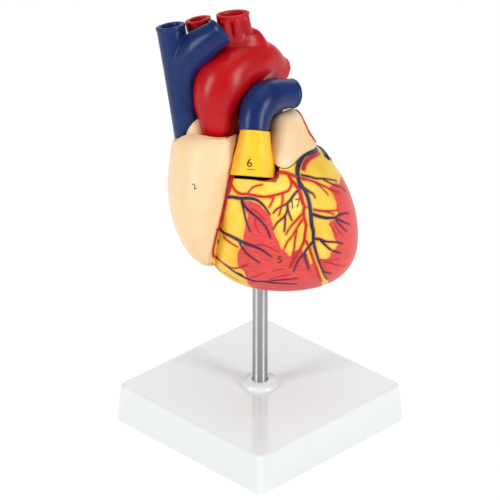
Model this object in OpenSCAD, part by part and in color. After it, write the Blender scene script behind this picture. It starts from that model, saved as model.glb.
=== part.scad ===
// Life-size human heart anatomy model on a square stand, in millimetres.
// The origin is the middle of the underside of the base, +Z is up, and the
// front of the heart faces -Y, so the heart's own right side is at -X.
// The front wall of the heart pulls off forwards and shows the chambers.

/* [Stand] */
// Width of the base where it stands on the table
base_w = 130; // [122:1:150]
// Width of the base at its top face
base_top_w = 126; // [116:1:130]
// Height of the base
base_h = 25; // [22:1:30]
// Wall of the hollow base
base_wall = 2.6; // [2:0.1:4]
// Radius of the upright corners of the base
base_corner_r = 4; // [3:0.5:8]
// Diameter of the steel rod
rod_d = 9.5; // [8:0.5:12]
// Height of the rod's top end above the table
rod_top = 136; // [128:1:138]
// Diameter of the collar round the foot of the rod
collar_d = 23.5; // [20:0.5:30]
// Height of the collar
collar_h = 3; // [2:0.5:5]

/* [Heart shell] */
// Wall of the right atrium and of the right ventricle
thin_wall = 6; // [5:0.5:7]
// Place of the cut between rear and front, in front of the rod's axis
seam_y = 10; // [10:0.5:12]
// Gap all round the removable front wall
seam_gap = 0.3; // [0.2:0.1:0.5]
// Outer diameter of the sleeve that takes the rod
sleeve_d = 15; // [14:0.5:16]
// Diameter of the magnets that hold the front wall
magnet_d = 4.4; // [4:0.2:4.6]
// Thickness of the magnets
magnet_h = 3; // [2:0.5:4]
// Diameter of the two locating pins
pin_d = 3; // [2.5:0.5:3.5]
// How far the locating pins stand out of the rear wall
pin_out = 5; // [3:1:6]

/* [Vessels] */
// Wall of the great vessels
vessel_wall = 2.8; // [2:0.1:3.2]
// Radius of the aorta below its arch
aorta_r = 14.5; // [13.5:0.1:14.8]
// Radius of the superior vena cava at its cut end
cava_r = 8.6; // [8:0.1:9]
// Radius of the pulmonary trunk
pulmonary_r = 9.8; // [9:0.1:10.2]
// Radius of the four pulmonary veins
lung_vein_r = 6; // [5:0.5:6.5]
// Radius of the raised coronary vessels on the front wall
coronary_r = 1.5; // [1.2:0.1:1.8]

/* [Hidden] */

// Smoothness: sides of a lofted body, of a room, of a vessel, of its bore and
// of a raised coronary
body_sides = 32;
room_sides = 20;
vessel_sides = 18;
bore_sides = 14;
relief_sides = 5;
// A hair more than nothing, so that cuts run right through
bit = 0.01;
over = 1;

// Fits on the stand
turning_gap = 0.05;
rod_r = rod_d / 2;
rod_foot = 7;
boss_r = 11;
boss_foot = 5;
rib_t = 2;
screw_r = 2.1;
screw_head_r = 4.5;
screw_head_h = 2.6;
screw_grip = 14;
washer_r = 8;
washer_h = 1.2;
washer_gap = 0.2;

// Colours of the paints and plastics
cream = "#FBDDB2";
muscle = "#E65550";
yellow = "#F8CF48";
red = "#C41E2E";
blue = "#22386F";
valve_white = "#F1E4D0";

// The heart's outer bodies, as level rings: height, left, right, front, back
ventricle_rings = [
    [102, 2, 26, -13, 4],
    [103.8, -10, 39, -22, 12],
    [107.5, -20, 48.5, -30, 20],
    [114, -28, 55, -37, 27],
    [124, -33, 59, -43, 33],
    [138, -36, 59.5, -46, 37],
    [152, -34.5, 57, -47, 39],
    [165, -32.5, 52, -47, 40],
    [176, -29, 45, -45, 39],
    [185, -25, 36, -41, 36],
    [192, -18, 27, -33, 29],
    [197, -8, 14, -24, 17]
];
atrium_rings = [
    [120, -33, -27, -21, -10],
    [124, -39, -24, -28, -2],
    [131, -45, -24, -35, 8],
    [142, -51, -22, -40, 18],
    [154, -54.5, -19.5, -43, 25],
    [168, -56, -16.5, -43, 29],
    [182, -55, -13.5, -40, 30],
    [193, -53.5, -8, -36, 28],
    [201, -51, -8, -32, 22],
    [205.5, -46, -10, -29, 15],
    [207.5, -40, -13, -26.5, 6]
];
// The roof of the atrium sinks to this height round the feet of the aorta and the vena cava
well_z = 199.5;
well_r = 13;
well_mids = [[-24.3, -10], [-44, -1.5]];
// Tip of the right auricle, between the vena cava and the aorta
right_tip_mid = [-38.5, -5, 201.5];
right_tip_half = [8, 9.3, 12];
// The tip stays whole on the rear wall in this box: left, right, front, back
tip_box = [-47, -30, -14.4, 0];
left_atrium_mid = [0, 25, 190];
left_atrium_half = [27, 18, 16];

// The chambers, cut out of the bodies in the same way
right_ventricle_rings = [
    [112, -22, -2, -28, -8],
    [120, -29, 4, -36, 4],
    [135, -29, 7, -42, 14],
    [150, -26, 8, -43, 17],
    [165, -22, 8, -43, 15],
    [178, -18, 7, -40, 6],
    [188, -15, 5, -37, -6],
    [197, -13, 3, -33, -14]
];
left_ventricle_rings = [
    [115, 24, 38, -20, 8],
    [122, 20, 45, -28, 16],
    [138, 19, 48.5, -34, 24],
    [154, 17, 47, -35, 28],
    [167, 14, 42, -33, 30],
    [178, 12, 35, -27, 28],
    [186, 13, 26, -16, 18]
];
left_atrium_room = [21, 11, 10];

// The groove between the right atrium and the right ventricle leans with height
groove_top = [-17.5, 189];
groove_lean = 0.205;
function groove_x(z) = groove_top[0] - (groove_top[1] - z) * groove_lean;

// Outline of the removable front wall seen from the front: across, up
seam_outline = [
    [-70, 90], [-70, 190], [-53, 191.5], [-49, 198], [-46, 202], [-33, 205.5], [-24, 206.5],
    [-13, 208], [-17, 190], [-19, 187.3], [-10, 186.8], [9, 186], [11, 188],
    [11.5, 205], [70, 205], [70, 90]
];
// The cut face seen from above: across, and how far in front of the rod's axis
seam_steps = [[-70, 4], [-24, 4], [-17, seam_y], [16, seam_y], [28, -8], [70, -8]];
// The open bay over the front wall that the conus stands in: left, right, front, up
bay = [-20.5, 11.5, 18, 182];
seam_depth = 60;

// Middle lines of the vessels, with the radius at each point
aorta_line = [
    [-23.6, -10, 192], [-25, -9, 212], [-25.6, -7, 225], [-22.3, -3, 235], [-15, 4, 241],
    [-6.3, 11, 241.4], [0.9, 17, 238.5], [7.6, 22, 233], [12.8, 26, 229.5]
];
// The aorta swells below its arch and narrows along it
aorta_radii = [for (more = [-6.2, -2.7, -0.2, 1.2, 0.9, 0.2, -2.5, -5, -7.8]) aorta_r + more];
trunk_line = [[-4, -24, 212], [-3.5, -19, 220], [1, -12, 226], [9, -4, 226.5], [18.5, 4, 223.8]];
trunk_radii = [8.8, pulmonary_r, pulmonary_r + 0.2, pulmonary_r, pulmonary_r - 1.4];
right_artery_line = [[8, 0, 219], [2, 11, 211], [-10, 19, 209], [-28, 20, 210], [-50, 22, 212]];
right_artery_r = 7.2;
cava_line = [[-39.5, 0, 178], [-43.5, -1.5, 208], [-48.6, 3, 238], [-53.7, 8, 266.5]];
cava_radii = [cava_r + 1.4, cava_r + 1, cava_r + 0.4, cava_r];
vein_line = [[-47, 2, 236], [-43.8, 1.5, 246], [-36.5, -1, 256.2], [-30.5, -3, 262], [-23.5, -4.5, 267.5]];
vein_radii = [7.4, 9.4, 10.4, 9.2, 8.1];
head_line = [[-20, 8, 243], [-30, 12, 250.5], [-35.5, 15, 259], [-37.5, 16.5, 267]];
head_r = 8;
branch_foot = [[-20, 4, 248], [-15, 6, 250], [-10, 8, 250]];
branch_end = [[-21, 4, 273], [-16.5, 6, 272.5], [-11.5, 7, 273.5]];
branch_r = 5.2;
lower_cava_line = [[-33, 16.5, 152], [-36, 22, 140], [-38, 27, 126]];
lower_cava_r = 8.9;
lung_veins = [
    [[-14.5, 26, 199], [-30, 38, 203], [-40, 47, 205]],
    [[-14, 28, 184], [-28, 38, 184], [-40, 46, 183]],
    [[8, 26, 199], [12, 38, 201], [15, 48, 202]],
    [[10, 28, 184], [16, 38, 183], [20, 48, 181]]
];

// Lobes of the left auricle: middle and half sizes
auricle_lobes = [
    [[12.8, -23, 193.4], [7.2, 9, 7.2]],
    [[13.4, -10, 208.9], [7.8, 8, 7.8]],
    [[19.5, 0, 208.8], [6, 8, 6]],
    [[27.5, 2, 191.5], [6, 8, 6]],
    [[15, 10, 200], [9, 8, 8]]
];

// The yellow conus leans back with the cut that it stands on, and its lip drops to the left side of the heart
conus_foot = [-5, -27, 183.5];
conus_lean = 27;
conus_drop = 5;
conus_rings = [
    [0, -14.4, 14.6, -14, 12],
    [9, -12.9, 12.4, -16.5, 8],
    [18, -10.8, 9.8, -18, 2],
    [27.2, -9.7, 8.1, -19.6, -1.6]
];

// Main coronary vessels raised on the front wall, each drawn as across, up
right_coronary = [
    [-17.5, 184], [-20.5, 178], [-22.5, 170], [-25.5, 160], [-27, 150], [-28.5, 138], [-30, 132]
];
conus_branch = [
    [-17, 183], [-14.5, 178], [-9, 177.5], [-1, 178], [5.5, 178.5], [12.5, 180], [17, 182], [18.5, 185]
];
great_vein = [
    [26.5, 191], [22.5, 188], [25, 182], [27.5, 176], [29.5, 168], [30.5, 160], [31.5, 150],
    [32.5, 141], [35, 132], [39.5, 119]
];
great_vein_branches = [
    [[23, 184], [37, 180], [47, 172], [50, 167]],
    [[30, 163], [36, 162], [44, 159], [54, 153]],
    [[31, 150], [39, 146], [50, 140]],
    [[31.5, 146], [25.5, 142], [20.5, 129]],
    [[25, 181], [21, 179], [16, 174], [11, 171], [7.5, 163]]
];
groove_branches = [
    [[-20.5, 176], [-10.5, 173.5], [1.5, 173], [5, 168]],
    [[-27, 156], [-13, 147], [-4, 144], [5.5, 140]],
    [[-23, 125], [-15, 123], [-2, 121], [14, 119], [26, 121]]
];

// Valves: middle of the ring and radius
tricuspid_mid = [-27, 8, 156];
tricuspid_r = 10;
mitral_mid = [20, 15, 180];
mitral_r = 9;
valve_press = 0.15;
aortic_mid = [-24.4, -9.6, 203];
aortic_r = 7.2;
// How much wider a pocket valve is than the bore that it is pressed into
outflow_line = [[17, 6, 176], [4, 4, 188], [-12, -3, 191], [-23.9, -9.8, 200]];
outflow_r = 8;
leaf_t = 1.2;

// Magnets and pins on the cut face: across, up
magnet_places = [[-52.4, 166], [13, 150], [53, 140]];
pin_places = [[12.5, 170], [13, 107]];
pin_play = 0.25;
pin_root = 6;

// Sleeve in the underside of the heart
sleeve_foot = 102.5;
sleeve_h = rod_top + 2 - sleeve_foot;
boss_wall = 2.5;

// Papillary muscles: foot, tip; and the cords from each tip to its valve
muscles_right = [[[-16, 6, 116], [-17, 5, 136]], [[-24, 2, 118], [-23, 0, 136]]];
muscles_left = [[[30, 18, 120], [25, 13, 148]], [[42, 10, 124], [32, 9, 150]]];
// Where the cords of the first and of the second muscle end, from the valve's middle
chord_ends_right = [[8, 2, -5], [8, 4, -3.6]];
chord_ends_left = [[-2.3, 4, -8.5], [2.3, 4, -8.5]];
muscle_foot_r = 5;
muscle_tip_r = 1.8;
chord_r = 0.5;

// ---- Curves and lofts ----

function blend4(a, b, c, d, t) =
    b + 0.5 * t * (c - a + t * (2 * a - 5 * b + 4 * c - d + t * (3 * (b - c) + d - a)));
// The list's own points and smooth ones between them
function smooth(list, steps) =
    let (last = len(list) - 1)
    [for (k = [0:last * steps])
        let (i = min(floor(k / steps), last - 1), t = k / steps - i)
        blend4(list[max(i - 1, 0)], list[i], list[i + 1], list[min(i + 2, last)], t)];

function level_ring(ring, sides) =
    let (mid = [(ring[1] + ring[2]) / 2, (ring[3] + ring[4]) / 2],
         half = [(ring[2] - ring[1]) / 2, (ring[4] - ring[3]) / 2])
    [for (i = [0:sides - 1])
        [mid[0] + half[0] * cos(360 * i / sides), mid[1] + half[1] * sin(360 * i / sides), ring[0]]];

// A closed skin over rings of points that all have the same number of sides
module skin(rings) {
    sides = len(rings[0]);
    count = len(rings);
    points = [for (ring = rings) each ring];
    foot = [[for (i = [0:sides - 1]) i]];
    head = [[for (i = [0:sides - 1]) (count - 1) * sides + sides - 1 - i]];
    flanks = [
        for (k = [0:count - 2])
        for (i = [0:sides - 1])
        let (a = k * sides + i, b = k * sides + (i + 1) % sides)
        each [[a, a + sides, b], [b, a + sides, b + sides]]
    ];
    polyhedron(points, concat(foot, flanks, head));
}

module loft(rings, sides = body_sides, steps = 2) {
    skin([for (ring = smooth(rings, steps)) level_ring(ring, sides)]);
}

function unit(v) = v / norm(v);
function heading(line, k) = unit(line[min(k + 1, len(line) - 1)] - line[max(k - 1, 0)]);
function sweep_ring(mid, ahead, r, sides, aside) =
    let (u = unit(cross(ahead, aside)), v = cross(ahead, u))
    [for (i = [0:sides - 1]) mid + r * (u * cos(360 * i / sides) + v * sin(360 * i / sides))];

// A round tube along a smooth line; aside is a direction that the line never takes
module tube(line, radii, sides = vessel_sides, steps = 2, aside = [0, 1, 0.1]) {
    mids = smooth(line, steps);
    sizes = smooth(radii, steps);
    skin([for (k = [0:len(mids) - 1]) sweep_ring(mids[k], heading(mids, k), sizes[k], sides, aside)]);
}

function same(r, line) = [for (p = line) r];
function thinner(radii, wall) = [for (r = radii) r - wall];
// The line with both of its ends drawn out, for a bore that cuts right through
function longer(line, by) =
    let (last = len(line) - 1)
    concat([line[0] - by * heading(line, 0)],
           [for (k = [1:last - 1]) line[k]],
           [line[last] + by * heading(line, last)]);

module bore(line, radii, wall = vessel_wall, steps = 2, aside = [0, 1, 0.1]) {
    tube(longer(line, over), thinner(radii, wall), sides = bore_sides, steps = steps, aside = aside);
}

// A straight round bar between two points, narrower at its far end if asked
module bar(from, to, r1, r2) {
    way = to - from;
    translate(from)
        rotate([0, acos(way[2] / norm(way)), atan2(way[1], way[0])])
            cylinder(h = norm(way), r1 = r1, r2 = r2);
}

// The whole of its children as one smooth-walled casting
module casting() {
    resize([0, 0, 0]) union() children();
}

// ---- Solid forms that more than one piece is cut by ----

module heart_form() {
    loft(ventricle_rings);
    difference() {
        loft(atrium_rings);
        hull() for (mid = well_mids)
            translate([mid[0], mid[1], well_z]) cylinder(h = 2 * well_r, r = well_r, $fn = 32);
    }
    translate(left_atrium_mid) scale(left_atrium_half) sphere(r = 1, $fn = 22);
    translate(right_tip_mid) scale(right_tip_half) sphere(r = 1, $fn = 16);
}

// With a wall it is the room inside, and with play it is the place that it needs
module conus_form(wall = 0, play = 0) {
    inner = [for (ring = conus_rings)
        [ring[0], ring[1] + wall - play, ring[2] - wall + play, ring[3] + wall - play, ring[4] - wall + play]];
    first = [inner[0] - [wall > 0 ? over : 0, 0, 0, 0, 0]];
    last = [inner[3] + [wall > 0 ? over : 0, 0, 0, 0, 0]];
    translate(conus_foot)
        rotate([-conus_lean, conus_drop, 0])
            loft(concat(first, [inner[1], inner[2]], last), sides = vessel_sides);
}

module trunk_form() {
    tube(trunk_line, trunk_radii);
}

module auricle_form(play = 0) {
    hull() {
        for (lobe = auricle_lobes)
            translate(lobe[0]) scale([for (half = lobe[1]) half + play]) sphere(r = 1, $fn = 18);
    }
}

module aorta_form(play = 0) {
    tube(aorta_line, [for (r = aorta_radii) r + play]);
}

module cava_form() {
    tube(cava_line, cava_radii);
}

// The right atrium's room is its body less the wall, and stops at the groove
module right_atrium_room() {
    rooms = [for (ring = atrium_rings) [
        ring[0] + (ring[0] < 160 ? thin_wall : -thin_wall) * (abs(ring[0] - 160) / 50),
        ring[1] + thin_wall,
        min(ring[2] - thin_wall, groove_x(ring[0]) - thin_wall / 2),
        ring[3] + thin_wall,
        ring[4] - thin_wall
    ]];
    loft([for (k = [2:6]) rooms[k]], sides = room_sides);
}

module rod_boss() {
    translate([0, 0, sleeve_foot - over])
        cylinder(h = sleeve_h + over + boss_wall, d = sleeve_d + 2 * boss_wall, $fn = 28);
}

module rooms() {
    right_atrium_room();
    difference() {
        intersection() {
            loft(right_ventricle_rings, sides = room_sides, steps = 1);
            loft([for (ring = ventricle_rings) [
                ring[0] + (ring[0] < 150 ? thin_wall : 0),
                ring[1] + thin_wall,
                ring[2] - thin_wall,
                ring[3] + thin_wall,
                ring[4] - thin_wall
            ]], sides = room_sides, steps = 1);
        }
        rod_boss();
    }
    loft(left_ventricle_rings, sides = room_sides, steps = 1);
    translate(left_atrium_mid) scale(left_atrium_room) sphere(r = 1, $fn = 16);
    // The valve openings and the way from the left ventricle to the aorta
    translate(tricuspid_mid) rotate([0, 90, 0])
        cylinder(h = 3 * thin_wall, r = tricuspid_r, center = true, $fn = 24);
    translate(mitral_mid) cylinder(h = 3 * thin_wall, r = mitral_r, center = true, $fn = 24);
    tube(longer(outflow_line, 2), same(outflow_r, outflow_line), sides = 12, steps = 1);
    bore(cava_line, cava_radii);
    bore(lower_cava_line, same(lower_cava_r, lower_cava_line));
    for (line = lung_veins)
        tube(longer(line, 2), same(lung_vein_r - vessel_wall / 2, line), sides = 10, steps = 1);
}

// What the front wall takes up: all in front of the cut and below its top edge
module front_region(gap) {
    plan = concat([for (step = seam_steps) [step[0], -step[1]]], [[70, -seam_depth], [-70, -seam_depth]]);
    difference() {
        intersection() {
            rotate([90, 0, 0])
                translate([0, 0, -seam_depth / 2])
                    linear_extrude(seam_depth * 1.5) offset(delta = -gap) polygon(seam_outline);
            linear_extrude(seam_outline[6][1] + 10) offset(delta = -gap) polygon(plan);
        }
        translate([tip_box[0] - gap, tip_box[2] - gap, well_z - gap])
            cube([tip_box[1] - tip_box[0] + 2 * gap, tip_box[3] - tip_box[2] + gap, 20]);
    }
}

// How far the cut face lies in front of the rod's axis at a place across
function seam_at(x) =
    x < seam_steps[1][0] ? seam_steps[1][1] :
    x > seam_steps[4][0] ? seam_steps[4][1] : seam_steps[2][1];

// Discs or holes that start behind the cut face and go forwards
module on_cut(places, r, behind, depth, sides) {
    for (place = places)
        translate([place[0], behind - seam_at(place[0]), place[1]])
            rotate([90, 0, 0])
                cylinder(h = depth, r = r, $fn = sides);
}

// ---- The stand ----

module tray_block(w, top_w, h, r, edge) {
    hull() {
        for (x = [-1, 1]) for (y = [-1, 1]) {
            translate([x * (w / 2 - r), y * (w / 2 - r), 0]) cylinder(h = bit, r = r, $fn = 24);
            translate([x * (top_w / 2 - r), y * (top_w / 2 - r), h - edge]) cylinder(h = bit, r = r, $fn = 24);
            translate([x * (top_w / 2 - r), y * (top_w / 2 - r), h - edge * 0.3])
                cylinder(h = bit, r = r - edge * 0.3, $fn = 24);
            translate([x * (top_w / 2 - r), y * (top_w / 2 - r), h - bit])
                cylinder(h = bit, r = r - edge, $fn = 24);
        }
    }
}

module base_tray() {
    rib_top = base_h - base_wall;
    rib_h = base_h / 2;
    color("white") rotate([0, 0, 45]) difference() {
        union() {
            difference() {
                tray_block(base_w, base_top_w, base_h, base_corner_r, 1.6);
                translate([0, 0, -bit])
                    tray_block(base_w - 2 * base_wall, base_top_w - 2 * base_wall,
                               base_h - base_wall, base_corner_r - 1, 1.2);
            }
            translate([0, 0, boss_foot]) cylinder(h = base_h - boss_foot - bit, r = boss_r, $fn = 64);
            for (turn = [0, 90]) rotate([0, 0, turn])
                translate([-base_top_w / 2 + 1, -rib_t / 2, rib_top - rib_h])
                    cube([base_top_w - 2, rib_t, rib_h + bit]);
        }
        translate([0, 0, rod_foot]) cylinder(h = base_h, r = rod_r + turning_gap, $fn = 64);
        cylinder(h = base_h, r = screw_r + 0.3, $fn = 48);
    }
}

module rod_collar() {
    outer = collar_d / 2;
    inner = rod_r + 0.35;
    color("white") translate([0, 0, base_h]) rotate_extrude($fn = 96)
        polygon(concat(
            [[inner, 0], [outer, 0]],
            [for (a = [0:10:70]) [outer - 4 + 4 * cos(a), 0.6 + (collar_h - 0.6) * sin(a)]],
            [[inner + 0.8, collar_h], [inner, collar_h - 0.4]]
        ));
}

module support_rod() {
    color("silver") difference() {
        translate([0, 0, rod_foot]) union() {
            cylinder(h = rod_top - rod_foot - 0.8, r = rod_r, $fn = 64);
            translate([0, 0, rod_top - rod_foot - 0.8]) cylinder(h = 0.7, r1 = rod_r, r2 = rod_r - 0.7, $fn = 64);
        }
        translate([0, 0, rod_foot - over]) cylinder(h = screw_grip + over, r = screw_r + turning_gap, $fn = 48);
    }
}

module rod_washer() {
    color("silver") translate([0, 0, boss_foot - washer_gap - washer_h]) difference() {
        cylinder(h = washer_h, r = washer_r, $fn = 64);
        translate([0, 0, -over]) cylinder(h = washer_h + 2 * over, r = screw_r + turning_gap, $fn = 48);
    }
}

module rod_screw() {
    head_top = boss_foot - washer_gap - washer_h;
    color("silver") difference() {
        union() {
            translate([0, 0, head_top - screw_head_h]) cylinder(h = screw_head_h, r = screw_head_r, $fn = 48);
            cylinder(h = rod_foot + screw_grip - 2, r = screw_r, $fn = 48);
        }
        // Below the head's top nothing of the shank shows
        translate([0, 0, -bit]) cylinder(h = head_top - screw_head_h + bit, r = screw_r + over, $fn = 48);
        for (turn = [0, 90]) rotate([0, 0, turn])
            translate([-2.6, -0.5, head_top - screw_head_h - over]) cube([5.2, 1, 1.4 + over]);
    }
}

module rod_sleeve() {
    color("white") translate([0, 0, sleeve_foot]) difference() {
        cylinder(h = sleeve_h, d = sleeve_d, $fn = 64);
        translate([0, 0, -over]) cylinder(h = rod_top - sleeve_foot + over, r = rod_r + turning_gap, $fn = 64);
    }
}

// ---- The heart's walls ----

module rear_wall() {
    color(cream) casting() difference() {
        heart_form();
        rooms();
        front_region(0);
        translate([bay[0], -seam_depth, bay[3]])
            cube([bay[1] - bay[0], seam_depth - bay[2], seam_depth]);
        conus_form();
        aorta_form();
        translate([0, 0, sleeve_foot - 10]) cylinder(h = sleeve_h + 10, d = sleeve_d + 0.2, $fn = 32);
        on_cut(magnet_places, magnet_d / 2 + 0.1, magnet_h, magnet_h + over, 14);
        on_cut(pin_places, pin_d / 2 + 0.1, pin_root, pin_root + over, 14);
    }
}

// Front surface of the bodies at a place, found from their rings
function ring_between(rings, z) =
    let (last = len(rings) - 1,
         k = max([for (i = [0:last - 1]) if (z >= rings[i][0] || i == 0) i]),
         t = min(1, (z - rings[k][0]) / (rings[k + 1][0] - rings[k][0])))
    rings[k] + max(0, t) * (rings[k + 1] - rings[k]);
function front_of(rings, x, z) =
    let (ring = ring_between(smooth(rings, 2), z),
         mid = (ring[1] + ring[2]) / 2,
         across = min(1, abs(x - mid) / ((ring[2] - ring[1]) / 2)))
    (ring[3] + ring[4]) / 2 - (ring[4] - ring[3]) / 2 * sqrt(1 - across * across);
function on_front(place) =
    [place[0], min(front_of(ventricle_rings, place[0], place[1]),
                   front_of(atrium_rings, place[0], place[1])), place[1]];

module front_relief() {
    for (line = concat([right_coronary, conus_branch, great_vein], great_vein_branches, groove_branches)) {
        points = [for (place = smooth(line, 2)) on_front(place)];
        radii = [for (k = [1:len(points)]) coronary_r * (1 - 0.4 * k / len(points))];
        tube(points, radii, sides = relief_sides, steps = 1);
    }
}

module front_wall() {
    color(muscle) casting() difference() {
        intersection() {
            union() {
                heart_form();
                front_relief();
            }
            front_region(seam_gap);
        }
        rooms();
        aorta_form(play = 0.4);
        // Room to slide out past the aorta's foot and from under the conus and the auricle
        hull() for (back = [0, 24]) translate([0, back, 0])
            bar(aorta_line[0] - [0, 0, 2], aorta_line[1], aorta_radii[0] + 0.4, aorta_radii[1] + 0.4, $fn = 24);
        hull() for (back = [0, 24]) translate([0, back, 0]) conus_form(play = 0.4);
        hull() for (back = [0, 24]) translate([0, back, 0]) auricle_form(play = 0.4);
        on_cut(magnet_places, magnet_d / 2 + 0.1, 0, magnet_h + seam_gap, 14);
        on_cut(pin_places, pin_d / 2 + pin_play, 0, pin_out + over, 14);
    }
}

module rear_magnets() {
    color("silver") on_cut(magnet_places, magnet_d / 2, magnet_h, magnet_h, 32);
}

module front_magnets() {
    color("silver") on_cut(magnet_places, magnet_d / 2, -seam_gap, magnet_h, 32);
}

module locating_pins() {
    color("white") on_cut(pin_places, pin_d / 2, pin_root, pin_root + pin_out, 32);
}

// ---- The great vessels ----

module conus() {
    color(yellow) casting() difference() {
        conus_form();
        conus_form(vessel_wall);
    }
}

module pulmonary_trunk() {
    color(blue) casting() difference() {
        trunk_form();
        bore(trunk_line, trunk_radii);
        conus_form();
    }
}

module right_pulmonary_artery() {
    radii = same(right_artery_r, right_artery_line);
    color(blue) casting() difference() {
        tube(right_artery_line, radii, aside = [0, 0.2, 1]);
        bore(right_artery_line, radii, aside = [0, 0.2, 1]);
        trunk_form();
        heart_form();
        aorta_form();
        cava_form();
    }
}

module aorta() {
    color(red) casting() difference() {
        aorta_form();
        bore(aorta_line, aorta_radii);
        conus_form();
        trunk_form();
    }
}

module brachiocephalic_trunk() {
    radii = same(head_r, head_line);
    color(red) casting() difference() {
        tube(head_line, radii);
        bore(head_line, radii);
        aorta_form();
        cava_form();
        tube(vein_line, vein_radii);
    }
}

module carotid_and_subclavian() {
    color(red) casting() difference() {
        for (k = [0:2]) bar(branch_foot[k], branch_end[k], branch_r, branch_r, $fn = 18);
        for (k = [0, 2]) bar(branch_foot[k], branch_end[k] + [0, 0, over], branch_r - 1.6, branch_r - 1.6, $fn = 14);
        aorta_form();
        tube(head_line, same(head_r, head_line));
        tube(vein_line, vein_radii);
    }
}

module superior_vena_cava() {
    color(blue) casting() difference() {
        cava_form();
        bore(cava_line, cava_radii);
        bore(vein_line, vein_radii);
        aorta_form();
        heart_form();
    }
}

module brachiocephalic_vein() {
    color(blue) casting() difference() {
        tube(vein_line, vein_radii);
        bore(vein_line, vein_radii);
        cava_form();
        aorta_form();
    }
}

module inferior_vena_cava() {
    radii = same(lower_cava_r, lower_cava_line);
    color(blue) casting() difference() {
        tube(lower_cava_line, radii);
        bore(lower_cava_line, radii);
        heart_form();
    }
}

module left_auricle() {
    color(cream) casting() difference() {
        auricle_form();
        heart_form();
        conus_form();
        trunk_form();
        tube(right_artery_line, same(right_artery_r, right_artery_line), aside = [0, 0.2, 1]);
        for (k = [2, 3]) tube(lung_veins[k], same(lung_vein_r, lung_veins[k]), sides = 16);
    }
}

module lung_vein(k) {
    line = lung_veins[k];
    color(red) casting() difference() {
        tube(line, same(lung_vein_r, line), sides = 16);
        tube(longer(line, over), same(lung_vein_r - vessel_wall / 2, line), sides = 12, steps = 1);
        heart_form();
        if (k == 0) tube(right_artery_line, same(right_artery_r, right_artery_line), aside = [0, 0.2, 1]);
    }
}

module right_upper_pulmonary_vein() {
    lung_vein(0);
}

module right_lower_pulmonary_vein() {
    lung_vein(1);
}

module left_upper_pulmonary_vein() {
    lung_vein(2);
}

module left_lower_pulmonary_vein() {
    lung_vein(3);
}

// ---- Valves, muscles and cords inside ----

// A ring with leaves that hang from it as a cut cone
module leaf_valve(r, leaves, drop) {
    difference() {
        union() {
            cylinder(h = 2, r = r - 0.1, $fn = 48);
            translate([0, 0, -drop]) cylinder(h = drop, r1 = r * 0.55, r2 = r - 0.6, $fn = 48);
        }
        translate([0, 0, -drop - over])
            cylinder(h = drop + 2 + 2 * over, r1 = r * 0.55 - leaf_t, r2 = r - leaf_t - 0.4, $fn = 48);
        for (k = [0:leaves - 1]) rotate([0, 0, 360 * k / leaves])
            translate([0, -0.6, -drop - over]) cube([r, 1.2, drop * 0.8 + over]);
    }
}

module tricuspid_valve() {
    color(valve_white) translate(tricuspid_mid) rotate([0, -90, 0]) leaf_valve(tricuspid_r, 3, 9);
}

module mitral_valve() {
    color(valve_white) translate(mitral_mid) leaf_valve(mitral_r, 2, 9);
}

// Three pocket cusps in a short ring, closed towards the heart
module pocket_valve(r, h) {
    difference() {
        cylinder(h = h, r = r, $fn = 48);
        translate([0, 0, leaf_t]) cylinder(h = h, r1 = r * 0.5, r2 = r - leaf_t, $fn = 48);
        for (k = [0:2]) rotate([0, 0, 120 * k]) translate([0, -0.4, -over]) cube([r * 0.8, 0.8, 3]);
    }
}

module pulmonary_valve() {
    ahead = unit(trunk_line[1] - trunk_line[0]);
    color(valve_white) translate(trunk_line[0] + ahead)
        rotate([0, acos(ahead[2]), atan2(ahead[1], ahead[0])])
            pocket_valve(trunk_radii[0] - vessel_wall + valve_press, 5);
}

module aortic_valve() {
    color(valve_white) translate(aortic_mid) pocket_valve(aortic_r + valve_press, 5);
}

module papillary_muscles() {
    color(muscle) casting() difference() {
        intersection() {
            for (ends = concat(muscles_right, muscles_left))
                bar(ends[0], ends[1], muscle_foot_r, muscle_tip_r, $fn = 16);
            rooms();
        }
        front_region(-0.6);
    }
}

module cords(muscles, valve_mid, ends) {
    for (k = [0, 1]) for (turn = [-1, 1])
        bar(muscles[k][1] + [0, turn, 0], valve_mid + [ends[k][0], turn * ends[k][1], ends[k][2]],
            chord_r, chord_r, $fn = 16);
}

module chordae() {
    color(valve_white) {
        cords(muscles_right, tricuspid_mid, chord_ends_right);
        cords(muscles_left, mitral_mid, chord_ends_left);
    }
}

base_tray();
rod_collar();
support_rod();
rod_washer();
rod_screw();
rod_sleeve();
rear_wall();
front_wall();
rear_magnets();
front_magnets();
locating_pins();
conus();
pulmonary_trunk();
right_pulmonary_artery();
aorta();
brachiocephalic_trunk();
carotid_and_subclavian();
superior_vena_cava();
brachiocephalic_vein();
inferior_vena_cava();
left_auricle();
right_upper_pulmonary_vein();
right_lower_pulmonary_vein();
left_upper_pulmonary_vein();
left_lower_pulmonary_vein();
tricuspid_valve();
mitral_valve();
pulmonary_valve();
aortic_valve();
papillary_muscles();
chordae();
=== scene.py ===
"""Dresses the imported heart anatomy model: painted PVC mouldings on a glossy ABS stand."""

import math

import bmesh
import bpy
import numpy as np
from mathutils import Matrix, Vector
from mathutils.bvhtree import BVHTree
from mathutils.kdtree import KDTree


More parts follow.
